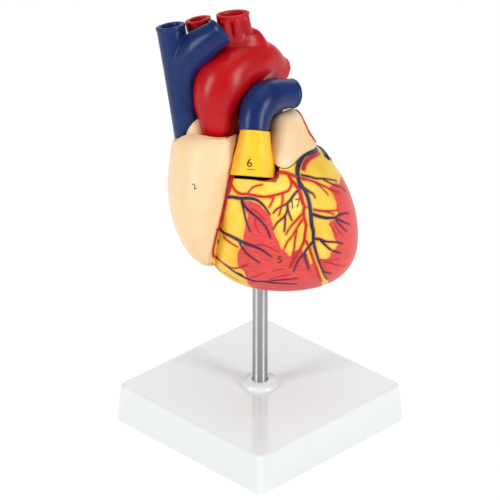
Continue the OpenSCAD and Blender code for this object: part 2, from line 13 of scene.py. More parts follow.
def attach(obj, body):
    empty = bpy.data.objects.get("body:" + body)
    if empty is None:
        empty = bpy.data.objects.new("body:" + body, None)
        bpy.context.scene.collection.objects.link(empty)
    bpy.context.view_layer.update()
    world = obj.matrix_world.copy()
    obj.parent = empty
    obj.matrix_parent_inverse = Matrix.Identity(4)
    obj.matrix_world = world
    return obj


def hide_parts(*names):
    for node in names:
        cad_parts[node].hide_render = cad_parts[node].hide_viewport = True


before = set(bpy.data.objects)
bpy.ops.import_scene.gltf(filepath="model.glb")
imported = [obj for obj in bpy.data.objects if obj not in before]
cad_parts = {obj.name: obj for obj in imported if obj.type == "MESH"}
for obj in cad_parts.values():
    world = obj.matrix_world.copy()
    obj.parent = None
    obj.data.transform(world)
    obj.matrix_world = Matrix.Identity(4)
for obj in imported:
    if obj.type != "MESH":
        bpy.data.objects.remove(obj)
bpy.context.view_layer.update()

MM = 0.001
UP = Vector((0, 0, 1))
BACK = Vector((0, 1, 0))

# ---- Camera ----

camera = bpy.data.objects.new("camera", bpy.data.cameras.new("camera"))
bpy.context.scene.collection.objects.link(camera)
camera.data.lens = 216
camera.data.sensor_width = 36
camera.data.clip_end = 50
camera.location = (-0.0063, -1.6316, 0.9748)
camera.rotation_euler = (math.radians(62.35), 0, 0)
bpy.context.scene.camera = camera

# ---- Sizes of the mouldings in millimetres, as in the part's source ----

# Level rings: height, left, right, front, back
VENTRICLE_STEPS = 14
VENTRICLES = [
    (102, 2, 26, -13, 4), (103.8, -10, 39, -22, 12), (107.5, -20, 48.5, -30, 20), (114, -28, 55, -37, 27),
    (124, -33, 59, -43, 33), (138, -36, 59.5, -46, 37), (152, -34.5, 57, -47, 39), (165, -32.5, 52, -47, 40),
    (176, -29, 45, -45, 39), (185, -25, 36, -41, 36), (192, -18, 27, -33, 29), (197, -8, 14, -24, 17),
]
ATRIUM_STEPS = 12
ATRIUM = [
    (120, -33, -27, -21, -10), (124, -39, -24, -28, -2), (131, -45, -24, -35, 8), (142, -51, -22, -40, 18),
    (154, -54.5, -19.5, -43, 25), (168, -56, -16.5, -43, 29), (182, -55, -13.5, -40, 30), (193, -53.5, -8, -36, 28),
    (201, -51, -8, -32, 22), (205.5, -46, -10, -29, 15), (207.5, -40, -13, -26.5, 6),
]
WELL_Z = 199.5
WELL_R = 13
WELL_MIDS = [(-24.3, -10), (-44, -1.5)]
RIGHT_TIP = ((-38.5, -5, 201.5), (8, 9.3, 12))
TIP_BOX = (-47, -30, -14.4, 0)
LEFT_ATRIUM = ((0, 25, 190), (27, 18, 16))
LEFT_ATRIUM_ROOM = (21, 11, 10)
RIGHT_VENTRICLE_ROOM = [
    (112, -22, -2, -28, -8), (120, -29, 4, -36, 4), (135, -29, 7, -42, 14), (150, -26, 8, -43, 17),
    (165, -22, 8, -43, 15), (178, -18, 7, -40, 6), (188, -15, 5, -37, -6), (197, -13, 3, -33, -14),
]
LEFT_VENTRICLE_ROOM = [
    (115, 24, 38, -20, 8), (122, 20, 45, -28, 16), (138, 19, 48.5, -34, 24), (154, 17, 47, -35, 28),
    (167, 14, 42, -33, 30), (178, 12, 35, -27, 28), (186, 13, 26, -16, 18),
]
GROOVE_TOP = (-17.5, 189)
GROOVE_LEAN = 0.205
THIN_WALL = 6
VESSEL_WALL = 2.8
SEAM_OUTLINE = [
    (-70, 90), (-70, 190), (-53, 191.5), (-49, 198), (-46, 202), (-33, 205.5), (-24, 206.5), (-13, 208),
    (-17, 190), (-19, 187.3), (-10, 186.8), (9, 186), (11, 188), (11.5, 205), (70, 205), (70, 90),
]
SEAM_PLAN = [(-70, -4), (-24, -4), (-17, -10), (16, -10), (28, 8), (70, 8), (70, -60), (-70, -60)]
SEAM_GAP = 0.3
FRONT_HALF = -4
BAY = (-20.5, 11.5, -18, 182)
AORTA_LINE = [
    (-23.6, -10, 192), (-25, -9, 212), (-25.6, -7, 225), (-22.3, -3, 235), (-15, 4, 241),
    (-6.3, 11, 241.4), (0.9, 17, 238.8), (7.6, 22, 232.8), (13, 26, 229.4),
]
AORTA_RADII = [8.3, 11.8, 14.6, 16.4, 15.9, 14.9, 12.5, 9.8, 7.8]
TRUNK_LINE = [(-4, -24, 212), (-3, -19, 220.3), (1.2, -12, 226), (9.2, -4, 226.6), (19.4, 4, 223.8)]
TRUNK_RADII = [8.8, 9.7, 10.8, 9.9, 8.5]
RIGHT_ARTERY_R = 7.2
RIGHT_ARTERY_LINE = [(8, 0, 219), (2, 11, 211), (-10, 19, 209), (-28, 20, 210), (-50, 22, 212)]
CAVA_LINE = [(-39.5, 0, 178), (-43.5, -1.5, 208), (-48.6, 3, 238), (-53.7, 8, 266.5)]
CAVA_RADII = [10, 9.6, 9, 8.6]
VEIN_LINE = [
    (-43.2, -1, 208), (-44.2, 0.4, 221), (-45.4, 1.6, 234), (-43.6, 1.5, 246), (-36.5, -1, 256.2), (-30.5, -3, 262),
    (-24.9, -3.6, 266.3), (-23, -2.8, 267.6),
]
VEIN_RADII = [8.6, 9.4, 9.4, 9.9, 10.4, 9.2, 8.2, 8]
HEAD_LINE = [(-20, 8, 243), (-30, 12, 250.5), (-35.5, 15, 259), (-37.5, 16.5, 267)]
HEAD_R = 8
# The fluted stub of the two arteries on the arch: its middle line, its half widths and the way it is long
STUB_LINE = [
    (-10, 8, 245), (-11.5, 7.6, 252.5), (-14.2, 6.6, 258.5), (-15.8, 5.9, 264), (-16.4, 5.7, 270),
    (-16.5, 5.7, 275.3),
]
STUB_HALVES = [(8, 18), (7.4, 15.2), (5.8, 12.4), (4.2, 10), (4.2, 9.8), (5.9, 10.4)]
STUB_LONG = Vector((0.953, 0.301, 0))
STUB_FLUTES = (-6.3, 0.1, 6.3)
LOWER_CAVA_LINE = [(-33, 16.5, 152), (-36, 22, 140), (-38, 27, 126)]
LOWER_CAVA_R = 8.9
LUNG_VEINS = {
    "right_upper": [(-14.5, 26, 199), (-30, 38, 203), (-40, 47, 205)],
    "right_lower": [(-14, 28, 184), (-28, 38, 184), (-40, 46, 183)],
    "left_upper": [(8, 26, 199), (12, 38, 201), (15, 48, 202)],
    "left_lower": [(10, 28, 184), (16, 38, 183), (20, 48, 181)],
}
LUNG_VEIN_R = 6
AURICLE_LOBES = [
    ((12.8, -23, 193.4), (7.2, 9, 7.2)), ((13.4, -10, 208.9), (7.8, 8, 7.8)), ((19.5, 0, 208.8), (6, 8, 6)),
    ((27.5, 2, 191.5), (6, 8, 6)), ((15, 10, 200), (9, 8, 8)),
]
CONUS_FOOT = (-5, -27, 183.5)
CONUS_LEAN = 27
CONUS_DROP = 5
CONUS = [
    (0, -14.4, 14.6, -14, 12), (9, -12.9, 12.4, -16.5, 8), (18, -10.8, 9.8, -18, 2), (27.2, -9.7, 8.1, -19.6, -1.6),
]
TRICUSPID = ((-27, 8, 156), 10)
MITRAL = ((20, 15, 180), 9)
OUTFLOW = [(17, 6, 176), (4, 4, 188), (-12, -3, 191), (-23.9, -9.8, 200)]
SLEEVE = (102.5, 138, 15)
BOSS_WALL = 2.5
# The collar's profile: out from the axis, and up from the base
BASE_TOP = 25
COLLAR = [
    (4.9, 0), (11.6, 0), (11.9, 0.5), (11.7, 1.6), (10.9, 2.8), (9.4, 3.7), (7.6, 4.1), (6, 4.2), (5.1, 4),
    (4.9, 3.6),
]
MAGNETS = [(-52.4, 166, -4), (13, 150, -10), (53, 140, 8)]
PINS = [(12.5, 170, -10), (13, 107, -10)]

# ---- Raised coronary vessels ----

# The front's vessels were drawn over an enlarged part of the photograph. Each row has its first and
# last radius in millimetres, drawn slim, and the spots it passes in that enlargement. seen_on turns them
# into places on the skin.
PHOTO_SIDE = 500
CROP_CORNER = (205, 165)
CROP_SCALE = 12
FULLNESS = 1.3
FRONT_VEINS = [
    (1, 0.7, [(1275, 620), (1285, 720), (1300, 800), (1300, 880), (1310, 960)]),
    (0.7, 0.3, [(1310, 960), (1340, 1060), (1370, 1150), (1400, 1250), (1430, 1320), (1465, 1375)]),
    (0.6, 0.3, [(1150, 125), (1240, 145), (1330, 160), (1430, 155), (1520, 165), (1580, 195)]),
    (0.4, 0.3, [(1420, 165), (1480, 205), (1560, 240), (1640, 280), (1690, 310)]),
    (0.6, 0.3, [(1190, 285), (1250, 320), (1290, 350), (1325, 390)]),
    (0.6, 0.5, [(1165, 250), (1125, 300), (1070, 350), (1020, 420), (985, 465)]),
    (0.4, 0.3, [(985, 465), (920, 500), (860, 530), (815, 575)]),
    (0.5, 0.3, [(985, 465), (990, 520), (960, 600), (900, 660), (860, 700), (820, 775)]),
    (0.4, 0.3, [(990, 520), (1015, 590), (1040, 670)]),
    (0.4, 0.3, [(960, 610), (965, 700), (945, 800)]),
    (0.8, 0.6, [(1290, 595), (1370, 620), (1460, 640), (1560, 630)]),
    (0.5, 0.3, [(1560, 630), (1620, 590), (1690, 580), (1730, 582)]),
    (0.5, 0.3, [(1560, 630), (1640, 670), (1740, 708)]),
    (0.4, 0.3, [(1560, 630), (1620, 710), (1705, 800)]),
    (0.7, 0.3, [(1300, 880), (1380, 895), (1450, 915), (1560, 925), (1655, 940)]),
    (0.6, 0.3, [(1380, 895), (1450, 960), (1520, 1020), (1630, 1055)]),
    (0.7, 0.5, [(1305, 900), (1260, 960), (1220, 1010), (1185, 1065)]),
    (0.5, 0.3, [(1185, 1065), (1140, 1120), (1100, 1190), (1070, 1275)]),
    (0.5, 0.3, [(1185, 1065), (1205, 1130), (1230, 1190), (1245, 1260)]),
    (0.4, 0.3, [(1400, 1265), (1450, 1290), (1520, 1300)]),
    (0.7, 0.8, [(245, 385), (330, 385), (430, 405), (500, 400)]),
    (0.8, 0.3, [(500, 400), (580, 410), (650, 440), (710, 490), (760, 570), (775, 600)]),
    (0.6, 0.3, [(440, 410), (480, 500), (560, 570), (640, 640), (700, 700), (750, 780), (790, 880)]),
    (0.6, 0.3, [(435, 420), (455, 500), (475, 580), (500, 680), (545, 800)]),
    (0.5, 0.9, [(135, 775), (220, 810), (310, 850), (400, 900)]),
    (0.9, 0.3, [(400, 900), (500, 945), (600, 985), (700, 1030), (800, 1100)]),
    (0.6, 0.3, [(420, 930), (470, 1020), (540, 1090), (660, 1170)]),
    (0.4, 0.6, [(130, 1115), (220, 1180), (330, 1260), (420, 1320)]),
    (0.6, 0.3, [(420, 1320), (520, 1370), (620, 1395), (720, 1395), (800, 1412), (900, 1420), (1020, 1430),
      (1100, 1425)]),
    (0.35, 0.3, [(720, 1395), (850, 1385), (960, 1372), (1100, 1360)]),
    (0.6, 0.4, [(370, 1295), (430, 1310), (470, 1345)]),
]
FRONT_ARTERIES = [
    (1.15, 0.85, [(305, 185), (290, 280), (250, 380), (230, 480), (190, 620), (165, 740), (140, 830),
      (115, 920), (95, 1020), (95, 1100)]),
    (0.6, 0.4, [(310, 220), (350, 300), (420, 345), (520, 350), (620, 370), (720, 385), (830, 360),
      (930, 335), (1000, 300), (1030, 250), (1035, 190), (1005, 135)]),
    (0.35, 0.3, [(510, 345), (580, 270), (690, 235)]),
    (0.4, 0.3, [(835, 360), (810, 430), (765, 510)]),
    (0.4, 0.3, [(930, 340), (935, 420), (915, 520), (890, 610)]),
    (0.35, 0.3, [(700, 385), (760, 385), (810, 400)]),
    (0.9, 0.7, [(905, 90), (960, 100), (1060, 120), (1140, 150), (1230, 175)]),
    (0.6, 0.3, [(1230, 175), (1330, 215), (1440, 250), (1520, 290), (1600, 335)]),
    (0.4, 0.3, [(1300, 200), (1390, 270), (1480, 360)]),
    (0.7, 0.9, [(1005, 130), (1040, 190), (1090, 250), (1130, 310), (1155, 380)]),
    (0.9, 0.6, [(1155, 380), (1175, 450), (1190, 500), (1180, 560), (1190, 640)]),
    (0.4, 0.3, [(1190, 500), (1240, 508)]),
    (0.6, 0.6, [(1190, 640), (1215, 720), (1205, 820), (1190, 900), (1170, 960)]),
    (0.6, 0.3, [(1170, 960), (1130, 1030), (1090, 1080), (1060, 1130), (1020, 1230)]),
    (0.6, 0.3, [(1165, 590), (1110, 650), (1060, 700), (1020, 750), (970, 830)]),
    (0.5, 0.3, [(1175, 650), (1115, 740), (1050, 850), (990, 920), (945, 1010)]),
    (0.4, 0.3, [(1100, 790), (1080, 900), (1065, 1000), (1050, 1070)]),
    (0.5, 0.5, [(1195, 880), (1250, 980), (1280, 1070), (1310, 1160)]),
    (0.5, 0.4, [(1310, 1160), (1340, 1250), (1370, 1330), (1400, 1400)]),
    (0.5, 0.3, [(1305, 530), (1380, 550), (1480, 555), (1600, 540)]),
    (0.4, 0.3, [(1390, 552), (1490, 572), (1545, 600)]),
    (0.5, 0.3, [(100, 1090), (160, 1130), (240, 1190), (330, 1235), (420, 1230), (510, 1195)]),
    (0.5, 0.3, [(230, 870), (310, 930), (400, 990)]),
]
# Where the great vein and its artery come round from the back, in millimetres
GREAT_VEIN_START = [
    (1.9, 1.6, [(33.6, 4.5, 186.7), (31.7, -2.7, 188.8), (28.5, -9.2, 190.5), (25.4, -15.4, 191.6),
      (22.9, -23.4, 190.8)]),
    (1.6, 1.1, [(22.9, -23.4, 190.8), (22, -29.6, 188.8), (22.4, -34, 185.4), (23.6, -38, 181)]),
    (1.2, 1.2, [(22.3, 186), (23, 184), (24.5, 182), (27, 178), (28.5, 174), (29.5, 169), (30, 164)]),
]
ARTERY_STARTS = [
    (1.5, 1.3, [(35, 1.5, 185.6), (32.4, -6.8, 187.6), (28.6, -14.5, 188.8), (26.2, -21.2, 188.8),
      (25.2, -26, 187.6)]),
    (2, 1.5, [(-17, 185), (-17.8, 182), (-18.3, 179)]),
]
# Thin fibres moulded and painted on the muscle, drawn in the same way
FIBRES = [
    [(610, 960), (700, 965), (800, 1000), (900, 1050)],
    [(560, 520), (650, 590), (730, 680)],
    [(600, 640), (620, 760), (680, 840)],
    [(540, 1350), (640, 1330), (720, 1290)],
    [(760, 1390), (880, 1340), (1040, 1310)],
    [(810, 1280), (880, 1260), (960, 1250)],
    [(1480, 280), (1560, 300), (1640, 370)],
    [(1490, 700), (1550, 780), (1590, 870)],
    [(1560, 720), (1620, 800), (1660, 860)],
    [(1370, 1130), (1500, 1140), (1620, 1110)],
    [(1420, 1160), (1540, 1190), (1640, 1210), (1740, 1190)],
    [(1110, 1090), (1060, 1170), (1030, 1230)],
    [(70, 1165), (150, 1235), (280, 1315), (420, 1390)],
]
# Vessels at the back, as across and up in millimetres, seen through from the front
REAR_VEINS = [
    (2.4, 2.8, [(42, 182), (30, 176), (16, 171), (0, 167), (-8, 164)]),
    (1.7, 0.6, [(-6, 165), (-2, 152), (4, 138), (12, 124), (20, 112)]),
    (0.9, 0.3, [(0, 147), (-8, 140), (-14, 130)]),
    (0.9, 0.3, [(6, 135), (15, 133), (22, 126)]),
    (1.2, 0.4, [(22, 174), (24, 160), (28, 146), (30, 130)]),
    (0.8, 0.3, [(26, 153), (34, 146), (40, 136)]),
    (1.2, 0.4, [(36, 179), (42, 168), (47, 154), (49, 140)]),
    (0.9, 0.4, [(-10, 162), (-17, 150), (-23, 138)]),
]
REAR_ARTERIES = [
    (1.6, 1.2, [(44, 176), (30, 170.5), (16, 165.5), (4, 163)]),
    (1.5, 0.5, [(-9, 160), (-5, 150), (1, 137), (9, 123), (17, 112)]),
    (0.8, 0.3, [(-3, 146), (-11, 138), (-18, 131)]),
    (0.8, 0.3, [(3, 133), (12, 128), (18, 122)]),
    (1.1, 0.4, [(26, 169), (31, 156), (35, 142), (36, 126)]),
    (1.0, 0.4, [(13, 165), (17, 152), (20, 138)]),
    (0.7, 0.3, [(33, 150), (41, 142), (45, 131)]),
]
# Borders of the muscle that shows through the yellow fat: stretches drawn over the photograph, by name,
# and the millimetres, across and up, that close each field where the photograph doesn't reach
MUSCLE_BORDERS = {
    "middle": [(455, 430), (540, 430), (640, 470), (720, 540), (780, 620), (810, 700), (820, 790),
      (850, 860), (890, 920), (905, 1000), (950, 1020), (990, 1060), (1020, 1100), (1060, 1060),
      (1100, 1020), (1150, 1000), (1190, 1060), (1220, 1050), (1240, 1100), (1270, 1200), (1300, 1170),
      (1330, 1260), (1370, 1340), (1390, 1400)],
    "left": [(500, 1345), (470, 1270), (400, 1210), (385, 1130), (400, 1060), (420, 1000), (480, 940),
      (460, 900), (470, 830), (480, 760), (500, 690), (512, 610), (490, 540)],
    "right": [(1480, 270), (1520, 330), (1560, 390), (1575, 450), (1580, 520), (1600, 580), (1560, 650),
      (1490, 680), (1520, 770), (1550, 850), (1570, 910), (1590, 960), (1560, 1000), (1500, 1060),
      (1505, 1100), (1450, 1130), (1345, 1125), (1400, 1230), (1470, 1370)],
}
MUSCLE_BELOW = [(38, 108), (40, 90), (0, 90), (-5, 110), (-8, 116)]
MUSCLE_BESIDE = [
    (44, 90), (90, 90), (90, 178), (56, 172), (50, 170.5), (47, 172), (43.5, 174.5),
]
REAR_MUSCLE = [
    [(-30, 145), (-17, 150), (-9, 146), (-4, 133), (4, 119), (10, 90), (-60, 90)],
    [(6, 156), (20, 162), (34, 166), (45, 170), (60, 172), (90, 178), (90, 90), (22, 90), (16, 124), (8, 140)],
]
# Fine mould lines on the aorta, and the red edge of the left auricle
AORTA_SEAMS = [
    (0.35, 0.3, [(-20.5, 1, 256), (-17, 0.5, 257), (-12.5, 1, 257.2), (-8.7, 1.5, 256.5), (-5.1, 2, 255),
                 (-1.5, 2, 252.5), (2, 1.9, 249.2)]),
    (0.45, 0.3, [(-3.9, -0.2, 252.7), (-1.6, -0.2, 250.8), (-1, -1.5, 248.8)]),
    (0.3, 0.25, [(-29, -4, 246), (-34, -7, 240), (-37.2, -10, 233.1), (-38, -13, 225), (-36.5, -14.5, 217)]),
    (0.3, 0.25, [(-9.5, -7, 229), (-12.3, -8.2, 221.5), (-13.5, -10.3, 213), (-14.5, -12, 205)]),
]
AURICLE_EDGE = [
    (0.9, 1.1, [(21.5, 1.5, 214.8), (23.1, -1, 213.4), (25.5, -2, 208.4), (27.3, -2, 204.3), (28.8, -2, 201.1),
                (31.2, -0.6, 196.9), (33.4, 1.6, 192.4)]),
]
# The cream atrium seen from the front, down to and up from the artery in the groove beside it
CREAM_ABOVE = [(-90, 118), (-90, 230), (-13, 230), (-13, 207), (-17, 190), (-18, 186)]
CREAM_BELOW = [(-29, 131), (-30.5, 124), (-33, 118)]
RIM = [
    (-18.9, 182), (-20.3, 177.5), (-21.4, 172.6), (-22.9, 167.4), (-24.9, 159.3), (-26.9, 152.7), (-28.9, 144.2),
    (-30.2, 136.9), (-30.9, 132), (-29.5, 126), (-25.5, 120.5), (-20, 116.2), (-13, 112),
]
RIDGES = [
    [(-39.8, 195.6), (-38.3, 191.7), (-35.9, 188.4)], [(-37.1, 196.7), (-35.3, 193.3), (-33, 189.4)],
    [(-34.7, 196.8), (-32.9, 193.4), (-30.9, 189.6)], [(-32.6, 196.6), (-31.2, 194)],
    [(-30.6, 195.1), (-28.2, 192.3), (-25.3, 188.1)], [(-27.9, 194.5), (-26.4, 192.2)],
]


# ---- Shapes ----

def eased(rows, steps):
    """The rows and smooth ones between them."""
    rows = [np.array(row, float) for row in rows]
    last = len(rows) - 1
    out = []
    for k in range(last * steps + 1):
        i = min(k // steps, last - 1)
        t = k / steps - i
        a, b, c, d = rows[max(i - 1, 0)], rows[i], rows[i + 1], rows[min(i + 2, last)]
        out.append(b + 0.5 * t * (c - a + t * (2 * a - 5 * b + 4 * c - d + t * (3 * (b - c) + d - a))))
    return out


def level_frames(rings, steps):
    """A unit circle laid on each level ring."""
    return [
        Matrix.Translation(Vector(((left + right) / 2, (front + back) / 2, height)) * MM)
        @ Matrix.Diagonal(((right - left) / 2 * MM, (back - front) / 2 * MM, MM, 1))
        for height, left, right, front, back in eased(rings, steps)
    ]


def path_frames(line, radii, steps, aside=(0, 1, 0.1), out=0):
    """A unit circle across a smooth line at each of its points; out draws both ends further."""
    mids = [Vector(point) for point in eased(line, steps)]
    if np.isscalar(radii):
        radii = [radii] * len(line)
    sizes = [float(r[0]) for r in eased([(r,) for r in radii], steps)]
    frames = []
    for k, (mid, size) in enumerate(zip(mids, sizes)):
        ahead = (mids[min(k + 1, len(mids) - 1)] - mids[max(k - 1, 0)]).normalized()
        if out and k in (0, len(mids) - 1):
            mid = mid + ahead * (out if k else -out)
        frames.append(turned(mid, ahead, Vector(aside), size, size))
    return frames


def oval_frames(line, halves, aside, steps):
    """As path_frames, but for an oval whose second half width lies along aside."""
    mids = [Vector(point) for point in eased(line, steps)]
    frames = []
    for k, (mid, (short, long)) in enumerate(zip(mids, eased(halves, steps))):
        ahead = (mids[min(k + 1, len(mids) - 1)] - mids[max(k - 1, 0)]).normalized()
        frames.append(turned(mid, ahead, aside, short, long))
    return frames


def turned(mid, ahead, aside, wide, high):
    """A unit circle across the way ahead, with its two half widths."""
    u = ahead.cross(aside).normalized()
    v = ahead.cross(u)
    turn = Matrix((u * wide, v * high, ahead * (wide + high) / 2)).transposed().to_4x4()
    return Matrix.Translation(mid * MM) @ Matrix.Diagonal((MM, MM, MM, 1)) @ turn


def grow(frames, sides, bm=None):
    """Grows a closed skin from a circle by extruding it from frame to frame."""
    bm = bm or bmesh.new()
    start = bmesh.ops.create_circle(bm, cap_ends=True, segments=sides, radius=1, matrix=frames[0])["verts"]
    ring = list({edge for vert in start for edge in vert.link_edges})
    for before, here in zip(frames, frames[1:]):
        grown = bmesh.ops.extrude_edge_only(bm, edges=ring)["geom"]
        moved = [part for part in grown if isinstance(part, bmesh.types.BMVert)]
        ring = [part for part in grown if isinstance(part, bmesh.types.BMEdge)]
        bmesh.ops.transform(bm, matrix=here @ before.inverted(), verts=moved)
    bmesh.ops.holes_fill(bm, edges=ring, sides=0)
    return bm


def ball(mid, half, sides=64):
    bm = bmesh.new()
    bmesh.ops.create_uvsphere(
        bm, u_segments=sides, v_segments=sides // 2, radius=1,
        matrix=Matrix.Translation(Vector(mid) * MM) @ Matrix.Diagonal([size * MM for size in half] + [1]))
    return bm


def bar(start, end, r1, r2=None, sides=48):
    """A round bar between two points."""
    start, end = Vector(start), Vector(end)
    ahead = (end - start).normalized()
    aside = BACK if abs(ahead.y) < 0.9 else UP
    return grow([turned(start, ahead, aside, r1, r1), turned(end, ahead, aside, r2 or r1, r2 or r1)], sides)


def prism(outline, axis, low, high, inset=0):
    """An outline drawn across the given axis and drawn out along it."""
    bm = bmesh.new()
    corners = [Vector((u, low, v)) if axis == 1 else Vector((u, v, low)) for u, v in outline]
    face = bm.faces.new([bm.verts.new(corner * MM) for corner in corners])
    if inset:
        rim = bmesh.ops.inset_region(bm, faces=[face], thickness=inset * MM, use_boundary=True,
                                     use_even_offset=True)["faces"]
        bmesh.ops.delete(bm, geom=rim, context="FACES")
    grown = bmesh.ops.extrude_face_region(bm, geom=list(bm.faces))["geom"]
    way = (BACK if axis == 1 else UP) * (high - low) * MM
    bmesh.ops.translate(bm, vec=way, verts=[part for part in grown if isinstance(part, bmesh.types.BMVert)])
    return bm


def block(low, high):
    size = [b - a for a, b in zip(low, high)]
    mid = [(a + b) / 2 for a, b in zip(low, high)]
    bm = bmesh.new()
    bmesh.ops.create_cube(bm, size=1, matrix=Matrix.Translation(Vector(mid) * MM)
                          @ Matrix.Diagonal([side * MM for side in size] + [1]))
    return bm


def solid(name, bm):
    """A closed object whose faces point outwards."""
    bmesh.ops.recalc_face_normals(bm, faces=bm.faces)
    mesh = bpy.data.meshes.new(name)
    bm.to_mesh(mesh)
    bm.free()
    obj = bpy.data.objects.new(name, mesh)
    bpy.context.scene.collection.objects.link(obj)
    return obj


def carved(obj, *works):
    """Each work is an operation and a bmesh, done in turn; the tools are used up."""
    tools = []
    for number, (operation, bm) in enumerate(works):
        tool = solid(f"tool_{number}", bm)
        tools.append(tool)
        cut = obj.modifiers.new("carve", "BOOLEAN")
        cut.solver = "MANIFOLD"
        cut.operation = operation
        cut.object = tool
    settle(obj)
    for tool in tools:
        bpy.data.objects.remove(tool)
    return obj


def settle(obj):
    """Applies the object's modifiers to its mesh."""
    graph = bpy.context.evaluated_depsgraph_get()
    mesh = bpy.data.meshes.new_from_object(obj.evaluated_get(graph))
    obj.modifiers.clear()
    obj.data = mesh
    return obj


def moulded(obj, voxel, passes):
    """Fuses a piece as a mould does: one skin with soft edges and fillets."""
    remesh = obj.modifiers.new("fuse", "REMESH")
    remesh.mode = "VOXEL"
    remesh.voxel_size = voxel * MM
    soften = obj.modifiers.new("soften", "SMOOTH")
    soften.factor = 0.5
    soften.iterations = passes
    return settle(obj)


def tree_of(*parts):
    """A search tree over meshes and bmeshes, for laying things on them."""
    bm = bmesh.new()
    for part in parts:
        mesh = part
        if isinstance(part, bmesh.types.BMesh):
            mesh = bpy.data.meshes.new("skin")
            part.to_mesh(mesh)
            part.free()
        bm.from_mesh(mesh)
    tree = BVHTree.FromBMesh(bm)
    bm.free()
    return tree


def heart_bodies():
    """The ventricles, the right atrium, the left atrium and the right atrium's tip."""
    return [
        grow(level_frames(VENTRICLES, VENTRICLE_STEPS), 320), grow(level_frames(ATRIUM, ATRIUM_STEPS), 240),
        ball(*LEFT_ATRIUM, 128), ball(*RIGHT_TIP, 64),
    ]


def aorta_form(play=0):
    return grow(path_frames(AORTA_LINE, [r + play for r in AORTA_RADII], 10), 96)


def conus_form(wall=0, play=0, sides=96):
    rings = [(h, a + wall - play, b - wall + play, c + wall - play, d - wall + play) for h, a, b, c, d in CONUS]
    if wall:
        rings = [(rings[0][0] - 1, *rings[0][1:])] + rings[1:-1] + [(rings[-1][0] + 1, *rings[-1][1:])]
    return grow([conus_place() @ ring for ring in level_frames(rings, 8)], sides)


def conus_place():
    return (Matrix.Translation(Vector(CONUS_FOOT) * MM) @ Matrix.Rotation(math.radians(CONUS_DROP), 4, "Y")
            @ Matrix.Rotation(math.radians(-CONUS_LEAN), 4, "X"))


def hulled(bm):
    """Leaves only the tight skin round all that is there."""
    found = bmesh.ops.convex_hull(bm, input=bm.verts)
    skin_faces = {part for part in found["geom"] if isinstance(part, bmesh.types.BMFace)}
    loose = {part for part in found["geom_interior"] + found["geom_unused"] if isinstance(part, bmesh.types.BMVert)}
    bmesh.ops.delete(bm, geom=list(loose), context="VERTS")
    bmesh.ops.delete(bm, geom=[face for face in bm.faces if face not in skin_faces], context="FACES")
    return bm


def auricle_form(play=0):
    bm = bmesh.new()
    for mid, half in AURICLE_LOBES:
        bmesh.ops.create_uvsphere(
            bm, u_segments=48, v_segments=24, radius=1,
            matrix=Matrix.Translation(Vector(mid) * MM) @ Matrix.Diagonal([(size + play) * MM for size in half] + [1]))
    return hulled(bm)


def well_form():
    """The room in the atrium's top round the aorta and the vena cava."""
    bm = bmesh.new()
    for x, y in WELL_MIDS:
        bmesh.ops.create_cone(bm, cap_ends=True, segments=96, radius1=WELL_R * MM, radius2=WELL_R * MM,
                              depth=2 * WELL_R * MM, matrix=Matrix.Translation(Vector((x, y, WELL_Z + WELL_R)) * MM))
    return hulled(bm)


def swept_back(bm, far=24):
    """The room that a form needs to slide straight forwards over it."""
    copy = bmesh.ops.duplicate(bm, geom=bm.verts[:] + bm.edges[:] + bm.faces[:])["geom"]
    bmesh.ops.translate(bm, vec=BACK * far * MM, verts=[part for part in copy if isinstance(part, bmesh.types.BMVert)])
    return hulled(bm)


def front_region(gap):
    """All in front of the seam and below its top edge, but for the atrium's tip."""
    region = solid("front_region", prism(SEAM_OUTLINE, 1, -62, 32, gap))
    left, right, front_face, back_face = TIP_BOX
    return carved(region, ("INTERSECT", prism(SEAM_PLAN, 2, 85, 218, gap)),
                  ("DIFFERENCE", block((left - gap, front_face - gap, WELL_Z - gap),
                                       (right + gap, back_face, WELL_Z + 20))))


def as_bmesh(obj):
    bm = bmesh.new()
    bm.from_mesh(obj.data)
    return bm


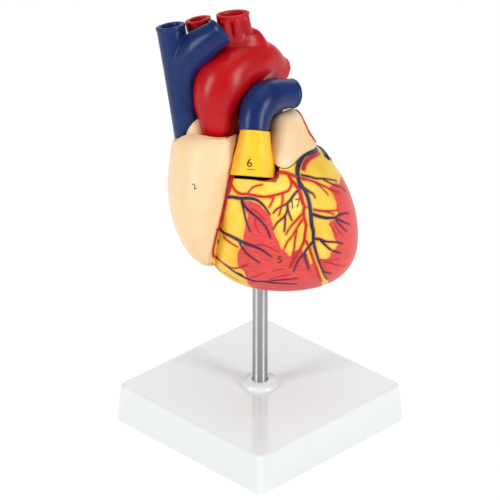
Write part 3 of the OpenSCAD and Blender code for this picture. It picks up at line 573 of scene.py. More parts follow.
def room_works():
    """What is hollowed out of both walls: chambers, valve openings and vessel bores."""
    right_atrium = []
    for h, a, b, c, d in ATRIUM[2:7]:
        lift = (THIN_WALL if h < 160 else -THIN_WALL) * abs(h - 160) / 50
        groove = GROOVE_TOP[0] - (GROOVE_TOP[1] - h) * GROOVE_LEAN
        right_atrium.append((h + lift, a + THIN_WALL, min(b - THIN_WALL, groove - THIN_WALL / 2),
                             c + THIN_WALL, d - THIN_WALL))
    shell = [(h + (THIN_WALL if h < 150 else 0), a + THIN_WALL, b - THIN_WALL, c + THIN_WALL, d - THIN_WALL)
             for h, a, b, c, d in VENTRICLES]
    boss = grow([Matrix.Translation(UP * z * MM) @ Matrix.Diagonal([(SLEEVE[2] / 2 + BOSS_WALL) * MM] * 2 + [MM, 1])
                 for z in (SLEEVE[0] - 1, SLEEVE[1] + BOSS_WALL)], 48)
    right_ventricle = carved(solid("room", grow(level_frames(RIGHT_VENTRICLE_ROOM, 6), 96)),
                             ("INTERSECT", grow(level_frames(shell, 4), 96)), ("DIFFERENCE", boss))
    forms = [
        grow(level_frames(right_atrium, 8), 96), as_bmesh(right_ventricle),
        grow(level_frames(LEFT_VENTRICLE_ROOM, 6), 96), ball(LEFT_ATRIUM[0], LEFT_ATRIUM_ROOM),
        bar(Vector(TRICUSPID[0]) - Vector((9, 0, 0)), Vector(TRICUSPID[0]) + Vector((9, 0, 0)), TRICUSPID[1], sides=64),
        bar(Vector(MITRAL[0]) - UP * 9, Vector(MITRAL[0]) + UP * 9, MITRAL[1], sides=64),
        grow(path_frames(OUTFLOW, 8, 8, out=2), 48),
        grow(path_frames(CAVA_LINE, [r - VESSEL_WALL for r in CAVA_RADII], 8, out=1), 48),
        grow(path_frames(LOWER_CAVA_LINE, LOWER_CAVA_R - VESSEL_WALL, 8, out=1), 48),
    ] + [grow(path_frames(line, LUNG_VEIN_R - VESSEL_WALL / 2, 8, out=2), 40) for line in LUNG_VEINS.values()]
    bpy.data.objects.remove(right_ventricle)
    return [("DIFFERENCE", form) for form in forms]


# ---- Surface attributes that the paints follow ----

def reach_into(places, outline):
    """How far each place lies inside an outline, negative outside."""
    outline = np.array(outline, float)
    best = np.full(len(places), 1e9)
    inside = np.zeros(len(places), bool)
    for p, q in zip(outline, np.roll(outline, -1, 0)):
        d = q - p
        t = np.clip(((places - p) @ d) / (d @ d), 0, 1)
        best = np.minimum(best, np.linalg.norm(places - p - t[:, None] * d, axis=1))
        if p[1] != q[1]:
            crosses = (p[1] > places[:, 1]) != (q[1] > places[:, 1])
            inside ^= crosses & (places[:, 0] < p[0] + (places[:, 1] - p[1]) / (q[1] - p[1]) * d[0])
    return np.where(inside, best, -best)


def ring_depth(points, rings, steps):
    """How deep each point lies in a body of level rings, negative outside."""
    rows = np.array(eased(rings, steps))
    heights = rows[:, 0]
    left, right, front_face, back_face = [np.interp(points[:, 2], heights, rows[:, k]) for k in (1, 2, 3, 4)]
    wide, deep = (right - left) / 2, (back_face - front_face) / 2
    level = np.hypot((points[:, 0] - (left + right) / 2) / wide, (points[:, 1] - (front_face + back_face) / 2) / deep)
    across = (1 - level) * np.minimum(wide, deep)
    return np.minimum(across, np.minimum(points[:, 2] - heights[0], heights[-1] - points[:, 2]))


def ball_depth(points, mid, half):
    return (1 - np.linalg.norm((points - mid) / half, axis=1)) * min(half)


def well_depth(points):
    """How deep each point lies in the well of the atrium's top."""
    (ax, ay), (bx, by) = WELL_MIDS
    start, way = np.array((ax, ay)), np.array((bx - ax, by - ay))
    t = np.clip((points[:, :2] - start) @ way / (way @ way), 0, 1)
    beside = np.linalg.norm(points[:, :2] - start - t[:, None] * way, axis=1)
    return np.minimum(WELL_R - beside, points[:, 2] - WELL_Z)


def store(obj, name, values):
    attribute = obj.data.attributes.new(name, "FLOAT", "POINT")
    attribute.data.foreach_set("value", np.asarray(values, np.float32))


def mark_paints(obj, routes):
    """Stores, in millimetres, how far a point lies into the muscle, the cream and the wall, and from a vessel."""
    points = np.zeros(len(obj.data.vertices) * 3, np.float32)
    obj.data.vertices.foreach_get("co", points)
    points = points.reshape(-1, 3).astype(float) / MM
    seen = points[:, [0, 2]]
    ahead = points[:, 1] < FRONT_HALF
    borders = {side: [seen_on(skin, spot) for spot in border] for side, border in MUSCLE_BORDERS.items()}
    fields = [borders["middle"] + MUSCLE_BELOW + borders["left"], borders["right"] + MUSCLE_BESIDE]
    groove = [seen_on(skin, spot) for spot in FRONT_ARTERIES[0][2]]
    front_cream = CREAM_ABOVE + groove[1:-1] + CREAM_BELOW
    front_muscle = np.max([reach_into(seen, outline) for outline in fields], axis=0)
    rear_muscle = np.max([reach_into(seen, outline) for outline in REAR_MUSCLE], axis=0)
    store(obj, "muscle", np.where(ahead, front_muscle, rear_muscle))
    ventricle = ring_depth(points, VENTRICLES, VENTRICLE_STEPS)
    atria = np.max([np.minimum(ring_depth(points, ATRIUM, ATRIUM_STEPS), -well_depth(points)),
                    ball_depth(points, *LEFT_ATRIUM), ball_depth(points, *RIGHT_TIP)], axis=0)
    store(obj, "cream", np.where(ahead, reach_into(seen, front_cream), atria - ventricle))
    store(obj, "inside", np.maximum(atria, ventricle))
    spots = [(spot, r) for route in routes for spot, normal, r in route]
    finder = KDTree(len(spots))
    for k, (spot, r) in enumerate(spots):
        finder.insert(spot, k)
    finder.balance()
    near = []
    for point in points:
        place, k, far = finder.find(Vector(point) * MM)
        near.append(far / MM - spots[k][1])
    store(obj, "near", near)


def mark_sides(obj):
    """Stores how far across the conus each point lies, from -1 at its left edge to 1 at its right."""
    back_home = conus_place().inverted()
    rows = np.array(CONUS, float)
    across = []
    for vert in obj.data.vertices:
        x, y, height = (back_home @ vert.co) / MM
        left, right = [np.interp(height, rows[:, 0], rows[:, k]) for k in (1, 2)]
        across.append((2 * x - left - right) / (right - left))
    store(obj, "across", across)


# ---- Laying vessels and numbers on the walls ----

def touch(tree, place, behind=False):
    """The point on the skin that a drawn place lies on, and which way the skin faces there."""
    if len(place) == 3:
        hit, normal = tree.find_nearest(Vector(place) * MM)[:2]
        return hit, normal
    way = -BACK if behind else BACK
    start = Vector((place[0] * MM, 0, place[1] * MM)) - way * 0.2
    hit, normal = tree.ray_cast(start, way)[:2]
    if hit is None:
        hit, normal = tree.find_nearest(Vector((place[0] * MM, 0.005, place[1] * MM)))[:2]
    return hit, normal


def seen_on(tree, spot):
    """Where a spot of the enlarged photograph lies on the skin: across and up, to half a millimetre."""
    x, y = [(corner + value / CROP_SCALE) / PHOTO_SIDE - 0.5 for corner, value in zip(CROP_CORNER, spot)]
    width = camera.data.sensor_width / camera.data.lens
    ray = camera.rotation_euler.to_matrix() @ Vector((x * width, -y * width, -1))
    met = tree.ray_cast(camera.location, ray)[0] / MM
    return round(met.x * 2) / 2, round(met.z * 2) / 2


def drawn_on(tree, rows):
    """Vessels drawn over the photograph, at their full radii and in their places."""
    return [(first * FULLNESS, last * FULLNESS, [seen_on(tree, spot) for spot in line])
            for first, last, line in rows]


def routes_on(tree, vessels, behind=False, steps=6):
    """Each vessel as the spots on the skin that it follows, with the skin's lean and the vessel's radius there."""
    routes = []
    for first, last, line in vessels:
        places = eased(line, steps)
        touches = [touch(tree, place, behind) for place in places]
        radii = np.linspace(first, last, len(places))
        routes.append([(spot, normal, r) for (spot, normal), r in zip(touches, radii)])
    return routes


def lay_vessels(routes, sides=10, flat=0.75, sink=0.15):
    """Raised vessels that follow the skin, and dive into it at both ends."""
    bm = bmesh.new()
    for route in routes:
        frames = []
        for k, (spot, normal, r) in enumerate(route):
            ahead = (route[min(k + 1, len(route) - 1)][0] - route[max(k - 1, 0)][0]).normalized()
            down = sink
            if k in (0, len(route) - 1):
                spot, down = spot + ahead * r * MM * (1.3 if k else -1.3), 1.0
            frames.append(turned((spot - normal * r * down * MM) / MM, ahead, normal.cross(ahead), r * flat, r))
        grow(frames, sides, bm)
    return bm


def number_on(bm, tree, text, place, tall, lean=0.0, proud=0.08):
    """A plain key number printed on the skin."""
    curve = bpy.data.curves.new("number", "FONT")
    curve.body = text
    curve.size = tall * 1.4 * MM
    curve.extrude = proud * MM
    curve.align_x = "CENTER"
    curve.align_y = "CENTER"
    curve.resolution_u = 4
    obj = bpy.data.objects.new("number", curve)
    bpy.context.scene.collection.objects.link(obj)
    graph = bpy.context.evaluated_depsgraph_get()
    mesh = bpy.data.meshes.new_from_object(obj.evaluated_get(graph))
    turn = Matrix.Rotation(lean, 3, "Z")
    for vert in mesh.vertices:
        flat = turn @ vert.co
        hit, normal = touch(tree, (place[0] + flat.x / MM, place[1] + flat.y / MM))
        vert.co = hit + normal * (flat.z + proud * 0.8 * MM)
    bm.from_mesh(mesh)
    bpy.data.objects.remove(obj)
    return bm


# ---- Paints, plastics and metals ----

def tint(code):
    """An sRGB hex value as the linear colour that the shaders take."""
    parts = [int(code[k:k + 2], 16) / 255 for k in (1, 3, 5)]
    return [c / 12.92 if c <= 0.04045 else ((c + 0.055) / 1.055) ** 2.4 for c in parts] + [1]


def add(nodes, kind, links=(), **settings):
    """Adds a node; settings are its properties or socket values, links its (input, output) pairs."""
    node = nodes.new("ShaderNode" + kind)
    for key, value in settings.items():
        if key.startswith("i_"):
            socket = key[2:]
            node.inputs[int(socket) if socket.isdigit() else socket.replace("_", " ")].default_value = value
        else:
            setattr(node, key, value)
    for socket, source in links:
        node.id_data.links.new(node.inputs[socket], source)
    return node


def new_material(name):
    material = bpy.data.materials.new(name)
    material.use_nodes = True
    nodes = material.node_tree.nodes
    nodes.clear()
    return material, nodes


def per_mm(size):
    """The scale of a pattern whose features are the given number of millimetres wide."""
    return 1 / (size * MM)


def paint(name, shades, roughness=0.3, parts=None):
    """Gloss enamel brushed over soft PVC: an even wet sheen over faint brush drag and dimples."""
    material, nodes = new_material(name)
    where = add(nodes, "TexCoord").outputs["Object"]
    cloud = add(nodes, "TexNoise", [("Vector", where)], i_Scale=per_mm(26), i_Detail=3.0, i_Roughness=0.5)
    dark, base, light = [tint(code) for code in shades]
    ramp = add(nodes, "ValToRGB", [("Fac", cloud.outputs["Fac"])])
    ramp.color_ramp.elements[0].position, ramp.color_ramp.elements[0].color = 0.32, dark
    ramp.color_ramp.elements[1].position, ramp.color_ramp.elements[1].color = 0.7, light
    middle = ramp.color_ramp.elements.new(0.5)
    middle.color = base
    colour = ramp.outputs["Color"]
    if parts:
        colour = parts(nodes, where, colour)
    drag = add(nodes, "TexNoise", [("Vector", where)], i_Scale=per_mm(5), i_Detail=2.0)
    dimple = add(nodes, "TexNoise", [("Vector", where)], i_Scale=per_mm(1.1), i_Detail=1.0)
    uneven = add(nodes, "Bump", [("Height", drag.outputs["Fac"])], i_Strength=0.35, i_Distance=0.35 * MM)
    bump = add(nodes, "Bump", [("Height", dimple.outputs["Fac"]), ("Normal", uneven.outputs["Normal"])],
               i_Strength=0.25, i_Distance=0.05 * MM)
    sheen = add(nodes, "MapRange", [("Value", drag.outputs["Fac"])], i_3=roughness - 0.05, i_4=roughness + 0.06)
    shader = add(nodes, "BsdfPrincipled", [
        ("Base Color", colour), ("Roughness", sheen.outputs["Result"]), ("Normal", bump.outputs["Normal"])],
        i_IOR=1.36)
    add(nodes, "OutputMaterial", [("Surface", shader.outputs["BSDF"])])
    return material


def edge_of(nodes, where, name, soft, ragged):
    """0 to 1 across the painted edge where an attribute passes zero, ragged as a brush leaves it."""
    reach = add(nodes, "Attribute", attribute_name=name).outputs["Fac"]
    wander = add(nodes, "TexNoise", [("Vector", where)], i_Scale=per_mm(3.5), i_Detail=3.0).outputs["Fac"]
    shift = add(nodes, "MapRange", [("Value", wander)], i_3=-ragged, i_4=ragged).outputs["Result"]
    total = add(nodes, "Math", [(0, reach), (1, shift)], operation="ADD").outputs["Value"]
    return add(nodes, "MapRange", [("Value", total)], i_1=-soft, i_2=soft).outputs["Result"]


def mixed(nodes, fac, a, b):
    node = add(nodes, "Mix", [(0, fac)], data_type="RGBA")
    for socket, value in ((6, a), (7, b)):
        if isinstance(value, list):
            node.inputs[socket].default_value = value
        else:
            node.id_data.links.new(node.inputs[socket], value)
    return node.outputs[2]


def wall_parts(nodes, where, yellow):
    """Yellow fat with muscle showing through, cream atria, red flesh on the cuts and inside, and painted shade beside
    the raised vessels and in the groove at the cream's edge.
    """
    cloud = add(nodes, "TexNoise", [("Vector", where)], i_Scale=per_mm(9), i_Detail=3.0).outputs["Fac"]
    grain = add(nodes, "Mapping", [("Vector", where)], i_Rotation=(0, 0.9, 0), i_Scale=(0.25, 1.0, 1.6))
    fibres = add(nodes, "TexNoise", [("Vector", grain.outputs["Vector"])], i_Scale=per_mm(2.2), i_Detail=2.0)
    streak = add(nodes, "MapRange", [("Value", fibres.outputs["Fac"])], i_1=0.45, i_2=0.75).outputs["Result"]
    near = add(nodes, "Attribute", attribute_name="near").outputs["Fac"]
    # Painted shade: a darker outline along each raised vessel, dark red on the muscle and orange brown on the yellow;
    # partly paint bled from the vessel, partly painted shade in the crease where it meets the skin
    beside = add(nodes, "MapRange", [("Value", near)], i_1=0.3, i_2=0.85, i_3=0.85, i_4=0.0).outputs["Result"]
    muscle = mixed(nodes, streak, tint("#E6504C"), tint("#D6383A"))
    muscle = mixed(nodes, beside, muscle, tint("#B8242C"))
    halo = add(nodes, "MapRange", [("Value", add(nodes, "Attribute", attribute_name="muscle").outputs["Fac"])],
               i_1=-3.5, i_2=0.3, i_3=0.0, i_4=0.7).outputs["Result"]
    warm = mixed(nodes, halo, yellow, tint("#F6B03E"))
    # Painted shade: a softer orange halo on the yellow, up to about 2 mm from each raised vessel
    close = add(nodes, "MapRange", [("Value", near)], i_1=0.2, i_2=1.9, i_3=0.5, i_4=0.0).outputs["Result"]
    warm = mixed(nodes, close, warm, tint("#F8BC44"))
    warm = mixed(nodes, beside, warm, tint("#DF8628"))
    painted = mixed(nodes, edge_of(nodes, where, "muscle", 0.3, 0.8), warm, muscle)
    pale = mixed(nodes, cloud, tint("#F8D0A0"), tint("#FBDFB2"))
    border = add(nodes, "Attribute", attribute_name="cream").outputs["Fac"]
    # Painted shade: a tan band just inside the cream's edge, the shadow of the groove beside the rim
    groove = add(nodes, "MapRange", [("Value", border)], i_1=0.9, i_2=2.2, i_3=0.45, i_4=0.0).outputs["Result"]
    pale = mixed(nodes, groove, pale, tint("#C49A58"))
    painted = mixed(nodes, edge_of(nodes, where, "cream", 0.25, 0.2), painted, pale)
    flesh = mixed(nodes, cloud, tint("#C8433F"), tint("#DD6A5E"))
    reach = add(nodes, "Attribute", attribute_name="inside").outputs["Fac"]
    within = add(nodes, "MapRange", [("Value", reach)], i_1=0.15, i_2=0.35).outputs["Result"]
    return mixed(nodes, within, painted, flesh)


def plastic(name, code, roughness):
    """Injection-moulded ABS: a clean, even gloss with the faintest flow marks."""
    material, nodes = new_material(name)
    where = add(nodes, "TexCoord").outputs["Object"]
    flow = add(nodes, "TexNoise", [("Vector", where)], i_Scale=per_mm(40), i_Detail=2.0)
    colour = mixed(nodes, flow.outputs["Fac"], tint(code), [min(1, c * 1.03) for c in tint(code)[:3]] + [1])
    sheen = add(nodes, "MapRange", [("Value", flow.outputs["Fac"])], i_3=roughness - 0.03, i_4=roughness + 0.04)
    bump = add(nodes, "Bump", [("Height", flow.outputs["Fac"])], i_Strength=0.15, i_Distance=0.2 * MM)
    shader = add(nodes, "BsdfPrincipled", [
        ("Base Color", colour), ("Roughness", sheen.outputs["Result"]), ("Normal", bump.outputs["Normal"])],
        i_IOR=1.5)
    add(nodes, "OutputMaterial", [("Surface", shader.outputs["BSDF"])])
    return material


def metal(name, code, roughness, drawn, smear):
    """Drawn steel: fine lines along the bar stretch its reflections into long bands."""
    material, nodes = new_material(name)
    where = add(nodes, "TexCoord").outputs["Object"]
    along = add(nodes, "Mapping", [("Vector", where)], i_Scale=(1.0, 1.0, drawn))
    lines = add(nodes, "TexNoise", [("Vector", along.outputs["Vector"])], i_Scale=per_mm(0.4), i_Detail=2.0)
    sheen = add(nodes, "MapRange", [("Value", lines.outputs["Fac"])], i_3=roughness - 0.05, i_4=roughness + 0.08)
    bump = add(nodes, "Bump", [("Height", lines.outputs["Fac"])], i_Strength=0.1, i_Distance=0.01 * MM)
    round_bar = add(nodes, "Tangent", direction_type="RADIAL", axis="Z")
    shader = add(nodes, "BsdfPrincipled", [
        ("Roughness", sheen.outputs["Result"]), ("Normal", bump.outputs["Normal"]),
        ("Tangent", round_bar.outputs["Tangent"])],
        i_Base_Color=tint(code), i_Metallic=1.0, i_Anisotropic=smear, i_Anisotropic_Rotation=0.25)
    add(nodes, "OutputMaterial", [("Surface", shader.outputs["BSDF"])])
    return material


def conus_side_shade(nodes, where, yellow):
    """Painted shade: the yellow darkens to orange down both sides of the conus, most along its left edge by the aorta.
    """
    across = add(nodes, "Attribute", attribute_name="across").outputs["Fac"]
    left = add(nodes, "MapRange", [("Value", across)], i_1=-0.95, i_2=-0.5, i_3=0.85, i_4=0.0).outputs["Result"]
    right = add(nodes, "MapRange", [("Value", across)], i_1=0.75, i_2=1.0, i_3=0.0, i_4=0.6).outputs["Result"]
    both = add(nodes, "Math", [(0, left), (1, right)], operation="ADD").outputs["Value"]
    return mixed(nodes, both, yellow, tint("#EC9A20"))


wall_enamel = paint("wall_enamel", ("#F8C43C", "#FBD34A", "#FDDF62"), roughness=0.36, parts=wall_parts)
cream_enamel = paint("cream_enamel", ("#F7CE9C", "#FAD8AC", "#FDE4BE"), roughness=0.5)
# Painted highlight: the raised rim at the cream atrium's edge is painted pale pink for the light caught along that
# rounded edge
rim_highlight_paint = paint("rim_highlight_paint", ("#F2AE94", "#F6BCA2", "#F9CBB4"), roughness=0.4)
conus_enamel = paint("conus_enamel", ("#F8C224", "#FACC2E", "#FCD640"), roughness=0.36, parts=conus_side_shade)
blue_enamel = paint("blue_enamel", ("#0C245C", "#102A64", "#17326E"), roughness=0.3)
red_enamel = paint("red_enamel", ("#AE000E", "#BC0814", "#C8121E"), roughness=0.28)
artery_enamel = paint("artery_enamel", ("#B80C14", "#C8161E", "#D6262C"), roughness=0.3)
vein_enamel = paint("vein_enamel", ("#1A1E40", "#22264C", "#34365C"), roughness=0.28)
fibre_enamel = paint("fibre_enamel", ("#A81018", "#B81C22", "#C62A2C"), roughness=0.3)
valve_enamel = paint("valve_enamel", ("#E6D2B4", "#F1E4D0", "#F8EFE0"), roughness=0.35)
muscle_enamel = paint("muscle_enamel", ("#C8433F", "#D9544C", "#E46A5E"), roughness=0.35)
number_ink = paint("number_ink", ("#2E2416", "#3A2E1C", "#463822"), roughness=0.5)
white_abs = plastic("white_abs", "#EDF1F2", 0.12)
drawn_steel = metal("drawn_steel", "#BEBEC0", 0.42, 0.02, 0.9)
plated_steel = metal("plated_steel", "#C9C9CC", 0.28, 1.0, 0.0)


# ---- Pieces ----

def finish_piece(obj, body, slot, material, *nodes, sharp=40):
    """Smooth shading with crisp creases, one material, its body and the nodes it stands for; slot is not used."""
    mesh = obj.data
    mesh.materials.clear()
    mesh.materials.append(material)
    mesh.shade_smooth()
    mesh.set_sharp_from_angle(angle=math.radians(sharp))
    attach(obj, body)
    if nodes:
        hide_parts(*nodes)
    return obj


# The two walls of the heart, cut from one form
ventricle_form, atrium_form, left_form, tip_form = heart_bodies()
outer = solid("outer", ventricle_form)
atrium_body = carved(solid("atrium", atrium_form), ("DIFFERENCE", well_form()))
carved(outer, ("UNION", as_bmesh(atrium_body)), ("UNION", left_form), ("UNION", tip_form))
skin = tree_of(outer.data)

rear = solid("rear_wall_moulding", as_bmesh(outer))
front = solid("front_wall_moulding", as_bmesh(outer))
region = front_region(0)
inner_region = front_region(SEAM_GAP)
carved(rear, *room_works(), ("DIFFERENCE", as_bmesh(region)),
       ("DIFFERENCE", block((BAY[0], -62, BAY[3]), (BAY[1], BAY[2], 240))),
       ("DIFFERENCE", conus_form()), ("DIFFERENCE", aorta_form()),
       ("DIFFERENCE", bar((0, 0, 92), (0, 0, SLEEVE[1]), SLEEVE[2] / 2 + 0.1)),
       *[("DIFFERENCE", bar((x, y + 3, z), (x, y - 1, z), 2.3)) for x, z, y in MAGNETS],
       *[("DIFFERENCE", bar((x, y + 6, z), (x, y - 1, z), 1.6)) for x, z, y in PINS])
# The wall's top edge stands clear of the conus, so its foot shows a dark gap
lowered_conus = conus_form(sides=48)
bmesh.ops.translate(lowered_conus, verts=lowered_conus.verts, vec=(0, 0, -2.2 * MM))
carved(front, ("INTERSECT", as_bmesh(inner_region)), *room_works(),
       ("DIFFERENCE", aorta_form(0.4)),
       ("DIFFERENCE", swept_back(bar(Vector(AORTA_LINE[0]) - UP * 2, AORTA_LINE[1], AORTA_RADII[0] + 0.4,
                                     AORTA_RADII[1] + 0.4))),
       ("DIFFERENCE", swept_back(conus_form(play=0.4, sides=48))),
       ("DIFFERENCE", swept_back(lowered_conus)),
       ("DIFFERENCE", swept_back(auricle_form(0.4))),
       *[("DIFFERENCE", bar((x, y + 1, z), (x, y - 3.3, z), 2.3)) for x, z, y in MAGNETS],
       *[("DIFFERENCE", bar((x, y + 1, z), (x, y - 6, z), 1.75)) for x, z, y in PINS])

# Raised vessels on both walls
routes = {}
for name, vessels, body, behind, material, slot in (
        ("front_cardiac_veins", GREAT_VEIN_START + drawn_on(skin, FRONT_VEINS),
         "front", False, vein_enamel, "vein_blue"),
        ("front_coronary_arteries", ARTERY_STARTS + drawn_on(skin, FRONT_ARTERIES),
         "front", False, artery_enamel, "artery_red"),
        ("rear_cardiac_veins", REAR_VEINS, "heart", True, vein_enamel, "vein_blue"),
        ("rear_coronary_arteries", REAR_ARTERIES, "heart", True, artery_enamel, "artery_red"),
        ("muscle_fibres", [(0.55, 0.3, [seen_on(skin, spot) for spot in line]) for line in FIBRES],
         "front", False, fibre_enamel, "muscle_red"),
        ("pale_groove_rim", [(0.5, 0.5, RIM)], "front", False, rim_highlight_paint, "auricle_cream"),
        ("atrium_ridges", [(0.8, 0.6, line) for line in RIDGES], "front", False, cream_enamel, "auricle_cream")):
    routes[name] = routes_on(skin, vessels, behind)
    sink = {"muscle_fibres": 0.3, "pale_groove_rim": 0.3, "atrium_ridges": 0.5}.get(name, 0.1)
    finish_piece(solid(name, lay_vessels(routes[name], sink=sink)), body, slot, material)
for wall, body, node, side in ((rear, "heart", "rear_wall", "rear"), (front, "front", "front_wall", "front")):
    mark_paints(wall, routes[side + "_cardiac_veins"] + routes[side + "_coronary_arteries"])
    finish_piece(wall, body, "wall_paint", wall_enamel, node)

# Aorta with its fluted stub, fused as one moulding
aorta = solid("aorta_moulding", aorta_form())
works = [("UNION", grow(oval_frames(STUB_LINE, STUB_HALVES, STUB_LONG, 6), 64))]
for along in STUB_FLUTES:
    for depth in (-1, 1):
        side = Vector((STUB_LONG.y, -STUB_LONG.x, 0)) * -depth * (2.8 if abs(along) < 1 else 1.7)
        foot, top = [Vector(STUB_LINE[k]) + STUB_LONG * along * spread + side for k, spread in ((2, 1.1), (4, 1))]
        works.append(("UNION", bar(foot, top + UP * 2.4, 3.2)))
mouth = [(short - 2.1, long - 2.1) for short, long in STUB_HALVES[-2:]]
bore = [STUB_LINE[-2], Vector(STUB_LINE[-1]) + UP * 2]
works.append(("DIFFERENCE", grow(oval_frames(bore, mouth, STUB_LONG, 4), 48)))
works.append(("DIFFERENCE", grow(path_frames(AORTA_LINE, [r - VESSEL_WALL for r in AORTA_RADII], 10, out=1), 64)))
carved(aorta, *works)
moulded(aorta, 0.65, 4)
carved(aorta, ("DIFFERENCE", conus_form()), ("DIFFERENCE", grow(path_frames(TRUNK_LINE, TRUNK_RADII, 8), 64)))
aorta_tree = tree_of(aorta.data)
finish_piece(aorta, "heart", "artery_red", red_enamel, "aorta", "carotid_and_subclavian", sharp=60)
finish_piece(solid("aorta_mould_lines", lay_vessels(routes_on(aorta_tree, AORTA_SEAMS), sink=0.45)),
             "heart", "artery_red", red_enamel)

head = solid("brachiocephalic_trunk_moulding", grow(path_frames(HEAD_LINE, HEAD_R, 8), 64))
carved(head, ("DIFFERENCE", grow(path_frames(HEAD_LINE, HEAD_R - VESSEL_WALL, 8, out=1), 48)),
       ("DIFFERENCE", aorta_form()), ("DIFFERENCE", grow(path_frames(CAVA_LINE, CAVA_RADII, 8), 64)),
       ("DIFFERENCE", grow(path_frames(VEIN_LINE, VEIN_RADII, 8), 64)))
finish_piece(moulded(head, 0.6, 4), "heart", "artery_red", red_enamel, "brachiocephalic_trunk", sharp=60)

# Superior vena cava and the vein that joins it, fused as one moulding with rolled lips
cava = solid("vena_cava_moulding", grow(path_frames(CAVA_LINE, CAVA_RADII, 10), 64))
vein_end, cava_top = Vector(VEIN_LINE[-1]), Vector(CAVA_LINE[-1])
vein_way = (vein_end - Vector(VEIN_LINE[-2])).normalized()
cava_way = (cava_top - Vector(CAVA_LINE[-2])).normalized()
carved(cava, ("UNION", grow(path_frames(VEIN_LINE, VEIN_RADII, 10), 64)),
       ("UNION", bar(vein_end - vein_way * 2, vein_end, VEIN_RADII[-1] + 1, sides=64)),
       ("UNION", bar(cava_top - cava_way * 1.6, cava_top, CAVA_RADII[-1] + 0.4, sides=64)),
       ("DIFFERENCE", grow(path_frames(CAVA_LINE, [r - VESSEL_WALL for r in CAVA_RADII], 8, out=1), 48)),
       ("DIFFERENCE", grow(path_frames(VEIN_LINE[1:], [r - VESSEL_WALL for r in VEIN_RADII[1:]], 8, out=1), 48)))
moulded(cava, 0.6, 8)
carved(cava, ("DIFFERENCE", aorta_form()), ("DIFFERENCE", as_bmesh(outer)))
finish_piece(cava, "heart", "vein_blue", blue_enamel, "superior_vena_cava", "brachiocephalic_vein", sharp=60)

trunk = solid("pulmonary_trunk_moulding", grow(path_frames(TRUNK_LINE, TRUNK_RADII, 10), 72))
trunk_end = Vector(TRUNK_LINE[-1])
trunk_way = (trunk_end - Vector(TRUNK_LINE[-2])).normalized()
carved(trunk, ("UNION", bar(trunk_end - trunk_way * 2, trunk_end, TRUNK_RADII[-1] + 0.6, sides=72)),
       ("DIFFERENCE", grow(path_frames(TRUNK_LINE, [r - VESSEL_WALL for r in TRUNK_RADII], 8, out=1), 48)))
moulded(trunk, 0.5, 5)
carved(trunk, ("DIFFERENCE", conus_form()))
finish_piece(trunk, "heart", "vein_blue", blue_enamel, "pulmonary_trunk", sharp=60)

artery = solid("right_pulmonary_artery_moulding", grow(path_frames(RIGHT_ARTERY_LINE, RIGHT_ARTERY_R, 8, (0, 0.2, 1)), 64))
carved(artery, ("DIFFERENCE", grow(path_frames(RIGHT_ARTERY_LINE, RIGHT_ARTERY_R - VESSEL_WALL, 8, (0, 0.2, 1), 1), 48)))
moulded(artery, 0.6, 4)
carved(artery, ("DIFFERENCE", grow(path_frames(TRUNK_LINE, TRUNK_RADII, 8), 64)), ("DIFFERENCE", aorta_form()),
       ("DIFFERENCE", grow(path_frames(CAVA_LINE, CAVA_RADII, 8), 64)), ("DIFFERENCE", as_bmesh(outer)))
finish_piece(artery, "heart", "vein_blue", blue_enamel, "right_pulmonary_artery", sharp=60)

lower = solid("inferior_vena_cava_moulding", grow(path_frames(LOWER_CAVA_LINE, LOWER_CAVA_R, 8), 64))
carved(lower, ("DIFFERENCE", grow(path_frames(LOWER_CAVA_LINE, LOWER_CAVA_R - VESSEL_WALL, 8, out=1), 48)))
moulded(lower, 0.6, 4)
carved(lower, ("DIFFERENCE", as_bmesh(outer)))
finish_piece(lower, "heart", "vein_blue", blue_enamel, "inferior_vena_cava", sharp=60)

for side, line in LUNG_VEINS.items():
    vein = solid(f"{side}_pulmonary_vein_moulding", grow(path_frames(line, LUNG_VEIN_R, 8), 56))
    carved(vein, ("DIFFERENCE", grow(path_frames(line, LUNG_VEIN_R - VESSEL_WALL / 2, 8, out=1), 48)))
    moulded(vein, 0.5, 4)
    carved(vein, ("DIFFERENCE", as_bmesh(outer)))
    finish_piece(vein, "heart", "artery_red", red_enamel, f"{side}_pulmonary_vein", sharp=60)

auricle = solid("left_auricle_moulding", auricle_form())
moulded(auricle, 0.6, 10)
auricle_tree = tree_of(auricle.data)
carved(auricle, ("DIFFERENCE", conus_form(play=0.1)), ("DIFFERENCE", as_bmesh(outer)),
       ("DIFFERENCE", grow(path_frames(TRUNK_LINE, TRUNK_RADII, 8), 64)))
finish_piece(auricle, "heart", "auricle_cream", cream_enamel, "left_auricle", sharp=60)
finish_piece(solid("auricle_red_edge", lay_vessels(routes_on(auricle_tree, AURICLE_EDGE), sink=0.3)),
             "heart", "artery_red", red_enamel)

conus = solid("conus_moulding", conus_form())
carved(conus, ("DIFFERENCE", conus_form(VESSEL_WALL)))
conus_tree = tree_of(conus.data)
moulded(conus, 0.4, 4)
mark_sides(conus)
finish_piece(conus, "heart", "conus_yellow", conus_enamel, "conus", sharp=60)

for spare in (region, inner_region, atrium_body, outer):
    bpy.data.objects.remove(spare)

# Plain key numbers
numbers = bmesh.new()
for text, place, tall, lean in (("17", (20.5, 173.5), 5, 0.1), ("5", (11.5, 137.5), 5, 0),
                                ("2", (-39.2, 182.7), 3.2, 0.4), ("7", (-25.4, 141.4), 3, 0)):
    number_on(numbers, skin, text, place, tall, lean)
finish_piece(solid("key_numbers", numbers), "front", "wall_paint", number_ink, sharp=180)
six = number_on(bmesh.new(), conus_tree, "6", (-6.6, 197.6), 5)
finish_piece(solid("conus_key_number", six), "heart", "conus_yellow", number_ink, sharp=180)
underline = routes_on(conus_tree, [(0.22, 0.22, [(-8.2, 193.9), (-3.4, 193.9)])])
finish_piece(solid("conus_key_underline", lay_vessels(underline)), "heart", "conus_yellow", number_ink)

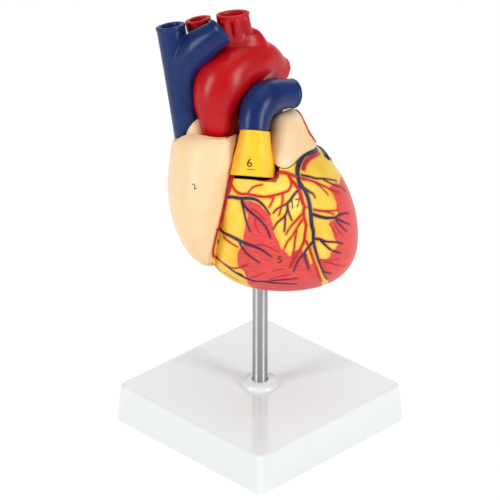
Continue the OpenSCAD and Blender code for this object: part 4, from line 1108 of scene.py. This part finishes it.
# The collar round the rod's foot, turned from a rounded profile
collar = bmesh.new()
corners = [collar.verts.new((x * MM, 0, (BASE_TOP + z) * MM)) for x, z in COLLAR]
for a, b in zip(corners, corners[1:] + corners[:1]):
    collar.edges.new((a, b))
bmesh.ops.spin(collar, geom=collar.verts[:] + collar.edges[:], axis=UP, cent=(0, 0, 0), angle=math.tau, steps=96,
               use_merge=True)
finish_piece(solid("rounded_collar", collar), "stand", "base_plastic", white_abs, "rod_collar", sharp=50)

# CAD pieces that keep their own shape
for node, material in (
        ("base_tray", white_abs), ("rod_sleeve", white_abs), ("locating_pins", white_abs),
        ("support_rod", drawn_steel), ("rod_washer", plated_steel), ("rod_screw", plated_steel),
        ("rear_magnets", plated_steel), ("front_magnets", plated_steel),
        ("tricuspid_valve", valve_enamel), ("mitral_valve", valve_enamel), ("pulmonary_valve", valve_enamel),
        ("aortic_valve", valve_enamel), ("papillary_muscles", muscle_enamel), ("chordae", valve_enamel)):
    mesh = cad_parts[node].data
    if not mesh.materials:
        mesh.materials.append(None)
    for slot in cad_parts[node].material_slots:
        slot.link = "OBJECT"
        slot.material = material

# ---- Studio ----

floor_bm = bmesh.new()
bmesh.ops.create_grid(floor_bm, x_segments=1, y_segments=1, size=12)
floor = solid("floor", floor_bm)
floor_material, nodes = new_material("studio_floor")
paths = add(nodes, "LightPath")
seen = add(nodes, "Math", [(0, paths.outputs["Is Camera Ray"]), (1, paths.outputs["Is Glossy Ray"])],
           operation="MAXIMUM")
seen = add(nodes, "Math", [(0, seen.outputs[0]), (1, paths.outputs["Is Transmission Ray"])], operation="MAXIMUM")
share = add(nodes, "Math", [(0, seen.outputs[0])], operation="MULTIPLY", i_1=0.82)
matt = add(nodes, "BsdfDiffuse", i_Color=tint("#F4F4F4"))
glow = add(nodes, "Emission", i_Color=(1, 1, 1, 1), i_Strength=1.08)
both = add(nodes, "MixShader", [(0, share.outputs[0]), (1, matt.outputs[0]), (2, glow.outputs[0])])
add(nodes, "OutputMaterial", [("Surface", both.outputs[0])])
floor.data.materials.append(floor_material)

world = bpy.data.worlds.new("studio")
bpy.context.scene.world = world
world.use_nodes = True
nodes = world.node_tree.nodes
nodes.clear()
paths = add(nodes, "LightPath")
fill = add(nodes, "Background", i_Color=(1, 1, 1, 1), i_Strength=0.33)
shown = add(nodes, "Background", i_Color=(1, 1, 1, 1), i_Strength=1.0)
both = add(nodes, "MixShader", [(0, paths.outputs["Is Camera Ray"]), (1, fill.outputs[0]), (2, shown.outputs[0])])
add(nodes, "OutputWorld", [("Surface", both.outputs[0])])

HEART_MID = Vector((0, 0, 0.17))
for name, place, width, height, power in (
        ("left_softbox", (-1.35, -0.85, 0.75), 0.6, 1.1, 15), ("right_softbox", (1.2, -0.95, 0.7), 0.5, 1.1, 14),
        ("top_softbox", (0.1, 0.1, 1.6), 1.2, 1.2, 4), ("rear_softbox", (0.3, 1.6, 1.0), 1.2, 0.8, 4)):
    lamp = bpy.data.lights.new(name, "AREA")
    lamp.shape = "RECTANGLE"
    lamp.size, lamp.size_y, lamp.energy = width, height, power
    holder = bpy.data.objects.new(name, lamp)
    bpy.context.scene.collection.objects.link(holder)
    holder.location = place
    holder.rotation_euler = (HEART_MID - Vector(place)).to_track_quat("-Z", "Y").to_euler()

bpy.context.scene.view_settings.view_transform = "Standard"
